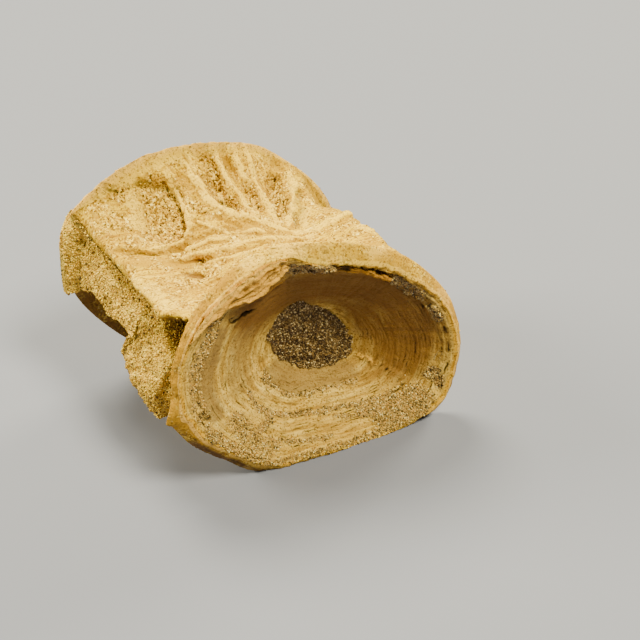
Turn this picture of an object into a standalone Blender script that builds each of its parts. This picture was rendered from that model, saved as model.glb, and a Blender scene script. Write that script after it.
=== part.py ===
"""Fossil vertebra: one spool-shaped centrum of bone with a deep ringed cup at each end.

It lies on its side with its axis along Y, so that both worn rims touch the ground at Z = 0.
The near cup (at -Y) holds a plug of dark sand, and a plate of pale sand covers the left flank.
Angles round the axis are in degrees, from +X towards +Z. Places along the axis are in
millimetres from the near lip. Relief is in millimetres, and is negative where it is cut in.
"""
import bpy
import numpy as np

MM = 0.001

# Driving dimensions, in millimetres.
LENGTH = 44.0                # along Y, from lip to lip
RIM_X = 1.11                 # X of the axis that the rim radii are measured from
RIM_Z = 24.0                 # height of that axis above the ground
GAP = 0.4                    # air between the bone and the sand that lies in it

# Rim radii every 22.5 degrees, before the lowest stretch is worn flat by the ground.
NEAR_RIM = (29.0, 24.9, 22.6, 21.7, 22.4, 24.8, 26.2, 27.8,
            28.4, 28.0, 26.8, 27.2, 26.2, 28.8, 33.4, 33.0)
FAR_RIM = (24.4, 21.7, 20.3, 21.1, 22.5, 25.6, 30.6, 34.4,
           32.0, 28.2, 26.4, 27.6, 26.8, 28.0, 29.6, 27.4)

# Each end: rim outline, cup depth, where the cup's bottom lies off the axis, the lip's
# rounding across the radius and along the axis, the shares of the radius at which the rings
# of vertices stand, and the shares at which growth ledges step down, with their heights.
NEAR_END = dict(rim=NEAR_RIM, depth=15.5, bottom=(5.4, -6.4), lip=(2.7, 2.0),
                shares=(0.16, 0.34, 0.50, 0.52, 0.66, 0.68, 0.79, 0.87, 0.89, 0.95, 1.0),
                ledges=((0.51, 0.35), (0.67, 0.40), (0.88, 0.80)))
FAR_END = dict(rim=FAR_RIM, depth=13.5, bottom=(-2.4, 2.2), lip=(1.5, 1.2),
               shares=(0.20, 0.40, 0.57, 0.59, 0.74, 0.86, 0.88, 0.95, 1.0),
               ledges=((0.58, 0.50), (0.87, 0.60)))
LEDGE_WIDTH = 0.02           # share of the radius that a growth ledge takes
CUP_FLARE = 1.12             # 1 is a straight cone, more opens the cup towards its lip

# The waist. Struts run lip to lip between the hollows and hold the rims apart.
WAIST_DEPTH = 0.40           # share of the radius that a hollow takes off at mid length
WAIST_POWER = 0.85           # below 1, the flank drops steeply behind each lip
STRUT_CHANGE = (0.42, 0.66)  # shares of the length between which a strut's filling changes
# Struts: angle at the near lip, at mid length and at the far lip, half width in degrees,
# and the share of the hollow that the strut fills at its near half and at its far half.
STRUTS = (
    (154.0, 158.0, 150.0, 8.0, 0.82, 0.78),
    (42.0, 42.0, 38.0, 13.0, 0.97, 0.62),
    (233.0, 236.0, 232.0, 12.0, 0.72, 0.78),
    (312.0, 314.0, 316.0, 13.0, 0.70, 0.74),
)

# Pits, slots, ridges and lobes of the flank: path of (angle, place), half width, height,
# and the share of the half width that is level before the side slopes.
RELIEF = (
    (((139.0, 38.0), (134.0, 35.5)), 5.4, -2.2, 0.45),                    # large pit
    (((141.0, 34.0), (136.0, 38.0)), 1.7, 1.3, 0.20),                     # tongue in the pit
    (((116.0, 43.0), (122.0, 37.5), (129.0, 30.5), (148.0, 28.8)), 1.6, 1.1, 0.20),
    (((103.0, 42.0), (98.0, 37.5), (97.0, 29.5)), 1.8, -1.8, 0.40),       # fingers' slots
    (((81.0, 38.0), (81.0, 29.5)), 1.6, -1.5, 0.40),
    (((57.0, 40.0), (61.0, 36.0), (60.0, 26.5)), 1.8, -2.0, 0.40),
    (((148.0, 25.0), (140.0, 22.0)), 1.9, -1.3, 0.30),                    # pit by the waist
    (((157.0, 14.0), (153.0, 9.5)), 2.4, 1.6, 0.20),                      # lobe on the strut
    (((152.0, 5.6), (158.0, 5.2)), 2.4, -3.0, 0.35),                      # pit behind the rim
    (((42.0, 19.5), (44.0, 15.0)), 2.4, 0.5, 0.20),                       # strut's two lobes
    (((43.0, 8.0), (43.0, 7.0)), 1.8, 0.5, 0.20),
    (((346.0, 38.0), (349.0, 26.0)), 2.0, -1.6, 0.40),                    # right flank
    (((5.0, 37.0), (3.0, 18.0)), 2.2, -1.9, 0.40),
    (((352.0, 15.0), (350.0, 8.0)), 2.0, -1.4, 0.40),
    (((19.0, 36.0), (20.0, 25.0)), 1.6, -1.2, 0.40),
    (((262.0, 34.0), (263.0, 11.0)), 2.6, -2.2, 0.40),                    # underside
    (((286.0, 36.0), (284.0, 13.0)), 2.4, -2.0, 0.40),
    (((222.0, 35.0), (214.0, 24.0)), 2.2, -1.5, 0.40),                    # lower left flank
)

RELIEF_FADE = (0.8, 4.0)     # the relief grows between these distances from each lip

COLUMNS = 84                 # facets round the axis
FOLLOW_REACH = 40.0          # degrees to each side over which columns follow the left strut
FLANK_ROWS = 20              # rings between the two lips
FACET_TURN = 2.0             # half a facet of the bone, in degrees and in millimetres
FACET_SHIFT = 0.8
LIP_TURNS = (45.0, 90.0)     # rings on each lip's rounding, in degrees from its crest

# Sand plug in the near cup: its outline as shares of the cup's radius every 45 degrees.
PLUG_OUTLINE = (0.25, 0.29, 0.39, 0.39, 0.31, 0.27, 0.31, 0.34)
PLUG_DEPTH = 11.2            # of its middle below the near lip
PLUG_COLUMNS = 26
PLUG_ROWS = 5
PLUG_RISE = 1.5              # power by which its top climbs from the middle to the border
PLUG_LUMP = 0.35             # height of its lumps, in three arms round the middle
PLUG_ARMS = 3
PLUG_TWIST = 5.0             # radians by which the arms turn between middle and border

# Sand plate on the left flank: its upper border and its broken lower edge, point for point.
PLATE_BORDER = ((154.0, 42.4), (156.0, 38.0), (158.5, 33.5), (160.5, 29.0), (162.0, 24.5),
                (162.5, 19.5), (162.0, 15.0), (162.0, 11.5), (162.0, 9.0), (162.5, 7.0),
                (163.5, 5.8), (165.0, 4.6))
PLATE_EDGE = ((187.0, 42.4), (184.0, 38.5), (179.0, 34.0), (177.0, 29.5), (175.5, 25.0),
              (174.0, 20.0), (174.0, 15.5), (181.0, 17.5), (191.0, 23.0), (199.0, 18.5),
              (203.0, 11.5), (204.0, 4.6))
PLATE_SHARE = (0.875, 0.955)  # of the rim radius, at its border and at its edge
PLATE_ENDS = 0.03            # more of it where the plate meets the rims
PLATE_BULGE = 0.13           # more of it at the lower lobe
PLATE_LOBE = (194.0, 13.0, 14.0, 12.0)   # lobe's angle and place, and its reach in both
PLATE_THIN = 0.7             # least thickness, along its upper border and its ends
PLATE_UNDERCUT = 5.0         # degrees by which the broken edge is cut back under
UNDERCUT_START = 0.3         # share of the way down at which the cutting back starts
# Shares of the way along and down over which the plate gains its full thickness.
PLATE_RISE_FAR = (-0.04, 0.12)
PLATE_RISE_NEAR = (0.0, 0.10)
PLATE_RISE_DOWN = (-0.25, 0.30)
PLATE_COLUMNS = 30
PLATE_ROWS = 6


def smoothstep(low, high, value):
    """Rise from 0 at low to 1 at high with level ends."""
    share = np.clip((value - low) / (high - low), 0.0, 1.0)
    return share * share * (3.0 - 2.0 * share)


def turn_between(angle, other):
    """Signed turn in degrees from one angle to another, between -180 and 180."""
    return (angle - other + 180.0) % 360.0 - 180.0


def closed_curve(values, angle):
    """Smooth closed curve through values spaced evenly round a turn, read at angle."""
    points = np.asarray(values, float)
    place = np.asarray(angle, float) / 360.0 * len(points)
    start = np.floor(place).astype(int)
    step = place - start
    a, b, c, d = (points[(start + shift) % len(points)] for shift in (-1, 0, 1, 2))
    return 0.5 * (2 * b + (c - a) * step + (2 * a - 5 * b + 4 * c - d) * step ** 2
                  + (3 * b - a - 3 * c + d) * step ** 3)


def rim_radius(angle, place):
    """Radius of the straight loft from the near rim to the far rim."""
    share = place / LENGTH
    return closed_curve(NEAR_RIM, angle) * (1 - share) + closed_curve(FAR_RIM, angle) * share


def strut_angle(strut, share):
    """Angle of a strut's crest: a parabola through its angles at both lips and between."""
    near, middle, far = strut[:3]
    return (near * (1 - share) * (1 - 2 * share) + middle * 4 * share * (1 - share)
            + far * share * (2 * share - 1))


def column_angles(share):
    """Angles of the vertices on one ring: the columns beside the left strut follow its crest."""
    angle = np.arange(COLUMNS) * 360.0 / COLUMNS
    left = STRUTS[0]
    near = np.exp(-(turn_between(angle, left[0]) / FOLLOW_REACH) ** 2)
    return angle + (strut_angle(left, share) - left[0]) * near


def hollow_share(angle, share):
    """Share of the rim radius that the waist takes away, less what the struts fill."""
    hollow = np.full(np.broadcast(angle, share).shape, WAIST_DEPTH)
    for strut in STRUTS:
        half_width, fill_near, fill_far = strut[3:]
        centre = strut_angle(strut, share)
        fill = fill_near + (fill_far - fill_near) * smoothstep(*STRUT_CHANGE, share)
        hollow = hollow * (1 - fill * np.exp(-(turn_between(angle, centre) / half_width) ** 2))
    return hollow * np.sin(np.pi * np.clip(share, 0.0, 1.0)) ** WAIST_POWER


def path_distance(angle, place, path, radius):
    """Distance over the flank, in millimetres, to the nearest point of a path."""
    nearest = np.full(np.broadcast(angle, place).shape, np.inf)
    for (angle_a, place_a), (angle_b, place_b) in zip(path[:-1], path[1:]):
        arc = np.radians(turn_between(angle, angle_a)) * radius
        arc_b = np.radians(turn_between(angle_b, angle_a)) * radius
        along = place - place_a
        along_b = place_b - place_a
        reach = np.clip((arc * arc_b + along * along_b) / (arc_b ** 2 + along_b ** 2), 0, 1)
        nearest = np.minimum(nearest, np.hypot(arc - reach * arc_b, along - reach * along_b))
    return nearest


def flank_radius(angle, place):
    """Radius of the bone between its two lips: waist, struts and relief."""
    share = place / LENGTH
    radius = rim_radius(angle, place) * (1 - hollow_share(angle, share))
    relief = np.zeros_like(radius)
    for path, half_width, height, level in RELIEF:
        off = path_distance(angle, place, path, radius) / half_width
        relief = relief + height * (1 - smoothstep(level, 1.0, off))
    fade = smoothstep(*RELIEF_FADE, place) * smoothstep(*RELIEF_FADE, LENGTH - place)
    return radius + relief * fade


def flank_clearance(angle, place):
    """Radius that clears the bone by the gap, also where its facets turn beside a place."""
    nearby = [flank_radius(angle + turn, place + shift)
              for turn in (-FACET_TURN, 0.0, FACET_TURN)
              for shift in (-FACET_SHIFT, 0.0, FACET_SHIFT)]
    return np.maximum.reduce(nearby) + GAP


def at(angle, place, radius):
    """Points in millimetres at a radius from the axis, on the ground or above it."""
    turn = np.radians(angle)
    x = RIM_X + radius * np.cos(turn)
    y = place - LENGTH / 2 + 0.0 * radius
    z = RIM_Z + radius * np.sin(turn)
    return np.stack(np.broadcast_arrays(x, y, np.maximum(z, 0.0)), axis=-1)


def cup_depth(end, share):
    """Depth of a cup below its lip, with the growth ledges stepping down inwards."""
    depth = end["depth"] * (1 - share ** CUP_FLARE)
    for ledge, height in end["ledges"]:
        below = smoothstep(-LEDGE_WIDTH / 2, LEDGE_WIDTH / 2, ledge - share)
        depth = depth + height * below * share / ledge
    return depth


def cup_points(end, angle, share, lift=0.0):
    """Points of a cup at a share of its radius; lift moves them out towards the mouth."""
    radius = (closed_curve(end["rim"], angle) - end["lip"][0]) * share
    depth = cup_depth(end, share) - lift
    place = depth if end is NEAR_END else LENGTH - depth
    points = at(angle, place, radius)
    points[..., 0] += end["bottom"][0] * (1 - share)
    points[..., 2] += end["bottom"][1] * (1 - share)
    return points


def lip_points(end, angle, turn):
    """Points of the rounded lip: turn 0 is its crest and 90 degrees its outer side."""
    across, along = end["lip"]
    radius = closed_curve(end["rim"], angle) - across * (1 - np.sin(np.radians(turn)))
    inwards = along * (1 - np.cos(np.radians(turn)))
    return at(angle, inwards if end is NEAR_END else LENGTH - inwards, radius)


def facet_faces(index):
    """Quads between neighbouring rows and columns of a grid of vertex numbers."""
    corners = (index[:-1, :-1], index[:-1, 1:], index[1:, 1:], index[1:, :-1])
    return np.stack(corners, axis=-1).reshape(-1, 4).tolist()


def closed_rings(rings, start, finish):
    """Vertices and faces of a closed body: rings of points with a point at each end."""
    count = rings.shape[1]
    vertices = np.concatenate([start[None], rings.reshape(-1, 3), finish[None]])
    index = 1 + np.arange(len(rings) * count).reshape(len(rings), count)
    index = np.concatenate([index, index[:, :1]], axis=1)
    faces = facet_faces(index)
    faces += [(0, after, before) for before, after in zip(index[0, :-1], index[0, 1:])]
    top = len(vertices) - 1
    faces += [(top, before, after) for before, after in zip(index[-1, :-1], index[-1, 1:])]
    return vertices, [[int(corner) for corner in face] for face in faces]


def add_body(name, vertices, faces, material, collection, sharp_degrees=50.0):
    """Make a named object from points in millimetres."""
    mesh = bpy.data.meshes.new(name)
    mesh.from_pydata((np.asarray(vertices) * MM).tolist(), [], faces)
    mesh.validate()
    mesh.shade_smooth()
    mesh.set_sharp_from_angle(angle=np.radians(sharp_degrees))
    mesh.materials.append(material)
    body = bpy.data.objects.new(name, mesh)
    collection.objects.link(body)
    return body


def add_material(name, colour, roughness):
    """A dry, dull surface of one colour."""
    material = bpy.data.materials.new(name)
    material.use_nodes = True
    surface = material.node_tree.nodes["Principled BSDF"]
    surface.inputs["Base Color"].default_value = (*colour, 1.0)
    surface.inputs["Roughness"].default_value = roughness
    surface.inputs["Metallic"].default_value = 0.0
    return material


def build_centrum(collection):
    """The bone: near cup, near lip, waisted flank, far lip and far cup in one closed skin."""
    near = column_angles(0.0)
    far = column_angles(1.0)
    rings = [cup_points(NEAR_END, near, share) for share in NEAR_END["shares"]]
    rings += [lip_points(NEAR_END, near, turn) for turn in LIP_TURNS]
    first = NEAR_END["lip"][1]
    last = LENGTH - FAR_END["lip"][1]
    # Rings stand closer together near the lips, where the flank is steepest.
    spread = np.arange(1, FLANK_ROWS + 1) / (FLANK_ROWS + 1)
    spread = 0.5 * spread + 0.5 * smoothstep(0.0, 1.0, spread)
    for place in first + (last - first) * spread:
        angle = column_angles(place / LENGTH)
        rings.append(at(angle, place, flank_radius(angle, place)))
    rings += [lip_points(FAR_END, far, turn) for turn in reversed(LIP_TURNS)]
    rings += [cup_points(FAR_END, far, share) for share in reversed(FAR_END["shares"])]
    bottoms = [cup_points(end, np.zeros(1), np.zeros(1))[0] for end in (NEAR_END, FAR_END)]
    vertices, faces = closed_rings(np.array(rings), *bottoms)
    faces = [face[::-1] for face in faces]
    bone = add_material("fossil_bone", (0.78, 0.58, 0.27), 0.75)
    return add_body("centrum", vertices, faces, bone, collection)


def build_cup_matrix(collection):
    """The plug: its underside follows the near cup, its top is a low lumpy dome."""
    angle = np.arange(PLUG_COLUMNS) * 360.0 / PLUG_COLUMNS
    border = closed_curve(PLUG_OUTLINE, angle)
    steps = np.arange(1, PLUG_ROWS + 1) / PLUG_ROWS
    under = [cup_points(NEAR_END, angle, border * step, GAP) for step in steps]
    top = []
    for step in steps[-2::-1]:
        ring = cup_points(NEAR_END, angle, border * step, GAP)
        middle = PLUG_DEPTH - LENGTH / 2
        arms = np.sin(np.radians(PLUG_ARMS * angle) + PLUG_TWIST * step)
        lump = PLUG_LUMP * arms * 4 * step * (1 - step)
        ring[:, 1] = middle + (under[-1][:, 1] - middle) * step ** PLUG_RISE + lump
        top.append(ring)
    bottom, peak = cup_points(NEAR_END, np.zeros((2, 1)), np.zeros((2, 1)), GAP)[:, 0]
    peak[1] = PLUG_DEPTH - LENGTH / 2
    vertices, faces = closed_rings(np.array(under + top), bottom, peak)
    sand = add_material("cup_sand", (0.20, 0.14, 0.08), 0.95)
    return add_body("cup_matrix", vertices, faces, sand, collection)


def along_polyline(points, share):
    """Places at even shares of a list of points."""
    points = np.asarray(points)
    stops = np.linspace(0.0, 1.0, len(points))
    return np.stack([np.interp(share, stops, points[:, axis]) for axis in range(2)], axis=-1)


def build_flank_matrix(collection):
    """The plate: a loft from its border to its broken edge, thick where the waist is deep."""
    border = along_polyline(PLATE_BORDER, np.linspace(0, 1, PLATE_COLUMNS))[:, None]
    edge = along_polyline(PLATE_EDGE, np.linspace(0, 1, PLATE_COLUMNS))[:, None]
    down = np.linspace(0, 1, PLATE_ROWS)[None, :]
    angle = border[..., 0] + (edge[..., 0] - border[..., 0]) * down
    place = border[..., 1] + (edge[..., 1] - border[..., 1]) * down

    lobe_angle, lobe_place, reach_angle, reach_place = PLATE_LOBE
    lobe = np.exp(-((angle - lobe_angle) / reach_angle) ** 2
                  - ((place - lobe_place) / reach_place) ** 2)
    rim = rim_radius(angle, place)
    # The plate thins towards its border and towards both of its ends.
    ends = np.linspace(0, 1, PLATE_COLUMNS)[:, None]
    rise = smoothstep(*PLATE_RISE_FAR, ends) * smoothstep(*PLATE_RISE_NEAR, 1 - ends)
    rise = rise * smoothstep(*PLATE_RISE_DOWN, down)
    floor = flank_clearance(angle, place)
    middle = np.sin(np.pi * place / LENGTH)
    level = PLATE_SHARE[0] + (PLATE_SHARE[1] - PLATE_SHARE[0]) * down
    full = rim * (level + PLATE_ENDS * (1 - middle) + PLATE_BULGE * lobe)
    outer = floor + PLATE_THIN + np.maximum(full - floor - PLATE_THIN, 0.0) * rise
    angle_under = angle - PLATE_UNDERCUT * smoothstep(UNDERCUT_START, 1.0, down)
    inner = flank_clearance(angle_under, place)

    skin = at(angle, place, outer).reshape(-1, 3)
    back = at(angle_under, place, inner).reshape(-1, 3)
    vertices = np.concatenate([skin, back])
    index = np.arange(PLATE_COLUMNS * PLATE_ROWS).reshape(PLATE_COLUMNS, PLATE_ROWS)
    under = index + index.size
    faces = facet_faces(index) + [face[::-1] for face in facet_faces(under)]
    rims = [np.concatenate([grid[:, 0], grid[-1, 1:], grid[-2::-1, -1], grid[0, -2::-1]])
            for grid in (index, under)]
    faces += facet_faces(np.stack(rims))
    sand = add_material("flank_sand", (0.52, 0.39, 0.19), 0.95)
    return add_body("flank_matrix", vertices, faces, sand, collection)


def main():
    """Clear the scene and build the three bodies in one collection."""
    for item in list(bpy.data.objects):
        bpy.data.objects.remove(item)
    collection = bpy.data.collections.new("fossil_vertebra")
    bpy.context.scene.collection.children.link(collection)
    build_centrum(collection)
    build_cup_matrix(collection)
    build_flank_matrix(collection)


main()
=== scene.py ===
"""Fossil mosasaur vertebra: the visible surfaces of a spool-shaped centrum that lies on its side.

The bone is one closed skin from the bottom of its near cup, over the near lip, along the waist
and over the far lip to the bottom of its far cup. A plug of dark sand fills the near cup's
bottom, a plate of pale sand covers the left flank, and loose grains cling to both and to the
bone's hollows. Angles round the axis are in degrees, from +X towards +Z. Places along the axis
are in millimetres from the near lip. Lengths are in millimetres unless a line says otherwise.
"""

import bpy
import numpy as np

from bpy.props import FloatProperty, FloatVectorProperty, PointerProperty
from mathutils import Matrix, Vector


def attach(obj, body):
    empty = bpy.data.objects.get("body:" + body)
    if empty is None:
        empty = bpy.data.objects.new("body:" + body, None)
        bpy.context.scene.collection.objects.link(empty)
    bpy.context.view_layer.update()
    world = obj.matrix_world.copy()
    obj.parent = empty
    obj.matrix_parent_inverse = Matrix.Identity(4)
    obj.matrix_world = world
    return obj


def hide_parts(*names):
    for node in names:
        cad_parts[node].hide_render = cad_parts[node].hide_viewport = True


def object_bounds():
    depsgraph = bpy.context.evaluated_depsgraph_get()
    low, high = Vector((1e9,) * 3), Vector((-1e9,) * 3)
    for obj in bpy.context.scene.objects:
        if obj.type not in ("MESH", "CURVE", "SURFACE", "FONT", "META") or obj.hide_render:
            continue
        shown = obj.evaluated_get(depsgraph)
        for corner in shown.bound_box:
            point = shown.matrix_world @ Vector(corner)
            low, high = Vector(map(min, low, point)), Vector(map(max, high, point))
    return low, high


bl_info = {
    "name": "Fossil mosasaur vertebra",
    "version": (1, 0, 0),
    "blender": (4, 5, 0),
    "location": "3D View > Sidebar > Fossil",
    "description": "Builds the surfaces of a fossil vertebra around its solid model",
    "category": "Object",
}

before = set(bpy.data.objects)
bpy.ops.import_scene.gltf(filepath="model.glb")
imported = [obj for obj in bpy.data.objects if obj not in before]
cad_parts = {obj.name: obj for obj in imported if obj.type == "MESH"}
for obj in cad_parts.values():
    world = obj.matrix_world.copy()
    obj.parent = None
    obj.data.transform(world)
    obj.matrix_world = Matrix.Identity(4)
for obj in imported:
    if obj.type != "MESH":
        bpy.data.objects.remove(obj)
CAD_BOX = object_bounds()

MM = 0.001
LENGTH = 44.0                # along Y, from lip to lip
RIM_X = 1.11                 # X of the axis that the rim radii are measured from
RIM_Z = 24.0                 # height of that axis above the ground

# Rim radii every 22.5 degrees, before the lowest stretch is worn flat by the ground.
NEAR_RIM = (29.0, 24.9, 22.6, 21.7, 22.4, 24.8, 26.2, 27.8,
            28.4, 28.0, 26.8, 27.2, 26.2, 28.8, 33.4, 33.0)
FAR_RIM = (24.4, 21.7, 20.3, 21.1, 22.5, 25.6, 30.6, 34.4,
           32.0, 28.2, 26.4, 27.6, 26.8, 28.0, 29.6, 27.4)

# Each end. rim and back hold a value every 22.5 degrees; fuller, across and along hold
# (angle, value) pairs.
#   rim      radius of the rim, and fuller what its spur and its corner add
#   depth    of the cup, and bottom how far the cup's bottom lies off the axis in X and Z
#   mouth    how far inside the rim a cup's steps and patches count a share of 1
#   across   how far inside the rim the lip's crest runs, and back how far it is set back
#   along    length of the lip's rounding, from its crest
NEAR_END = dict(rim=NEAR_RIM, depth=15.5, bottom=(5.4, -6.4), mouth=2.7,
                along=((0, 2.0), (128, 1.8), (145, 0.9), (190, 0.9), (212, 1.7)),
                fuller=((0, 0.0), (183, 0.0), (187, 0.9), (190, 1.9), (192.5, 2.5), (195, 1.5),
                        (199, 1.1), (206, 0.7), (217, 0.3), (226, 0.0), (312, 0.0), (319, 1.2),
                        (325, 1.2), (332, 0.5), (338, 0.0)),
                across=((0, 1.9), (15, 2.4), (30, 2.8), (57, 3.1), (72, 3.3), (81, 3.2),
                        (87, 3.9), (94, 3.2), (101, 2.0), (108, 1.3), (115, 1.1), (122, 1.0),
                        (132, 1.1), (142, 0.9), (157, 0.85), (182, 0.95), (187, 1.9),
                        (192.5, 3.6), (199, 2.8), (206, 2.6), (217, 2.6), (225, 2.4),
                        (247, 2.6), (270, 2.8), (292, 2.8), (315, 2.4), (337, 1.8)),
                back=(0.0, 0.0, 0.0, 0.0, 0.2, 1.1, 1.2, 1.2,
                      0.8, 0.2, 0.0, 0.0, 0.0, 0.0, 0.0, 0.0))
FAR_END = dict(rim=FAR_RIM, depth=13.5, bottom=(-2.4, 2.2), mouth=1.5,
               along=((0, 1.2),), fuller=((0, 0.0),),
               across=((0, 1.5), (45, 1.2), (90, 1.3), (135, 1.5), (180, 1.8), (202, 1.9),
                       (247, 1.7), (315, 1.7)),
               back=(0.2, 0.0, 0.0, 0.0, 0.0, 0.0, 0.0, 0.1,
                     0.3, 0.3, 0.2, 0.0, 0.0, 0.1, 0.3, 0.3))
FULLER_FADE = (8.0, 1.0)     # places between which the near rim's spur and corner set in
CUP_FLARE = 1.12             # 1 is a straight cone, more opens the cup towards its lip
LIP_POWER = 1.5              # 1 rounds a lip as a circle does, 2 makes it a straight chamfer

# The waist takes up to this share of the radius away, by a power of a half wave. Struts run
# from lip to lip between its hollows: angle at the near lip, halfway and at the far lip, half
# width in degrees, and the share of the hollow filled before and after the change.
WAIST_DEPTH = 0.40
WAIST_POWER = 0.85
STRUT_CHANGE = (0.42, 0.66)      # shares of the length between which the fill changes
STRUTS = (
    (154.0, 158.0, 150.0, 8.0, 0.82, 0.78),
    (42.0, 42.0, 38.0, 13.0, 0.97, 0.62),
    (233.0, 236.0, 232.0, 12.0, 0.72, 0.78),
    (312.0, 314.0, 316.0, 13.0, 0.70, 0.74),
)

# Grid of the bone's skin. Columns crowd where the flank is most broken up.
COLUMNS = 440
CROWDING = 14.0              # degrees by which columns lean towards the crowded side
CROWDED_ANGLE = 125.0
FOLLOW_REACH = 40.0          # degrees to each side over which columns follow the left strut
NEAR_CUP_ROWS = 176
HIDDEN_ROWS = 7              # rows of the skin behind the near cup's wall, and of its back
NEAR_LIP_ROWS = 10
FLANK_ROWS = 128
FAR_LIP_ROWS = 7
FAR_CUP_ROWS = 58
CUP_SCALE = 25.0             # length that one share of a cup's radius stands for
WALL = 0.9                   # thickness of the near cup's wall

# Crease of the near cup: its angle, the reach to each side and how far the rings are drawn out.
CREASE = (325.0, 36.0, 0.15)
RIDGE_GAIN, HOLLOW_GAIN = 0.72, 1.1     # what the heights of the flank's forms are scaled by
RIDGE_SPREAD = 0.92                     # and the widths of those that stand out
RING_GAP = 0.75              # mean distance between the cups' growth rings

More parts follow.
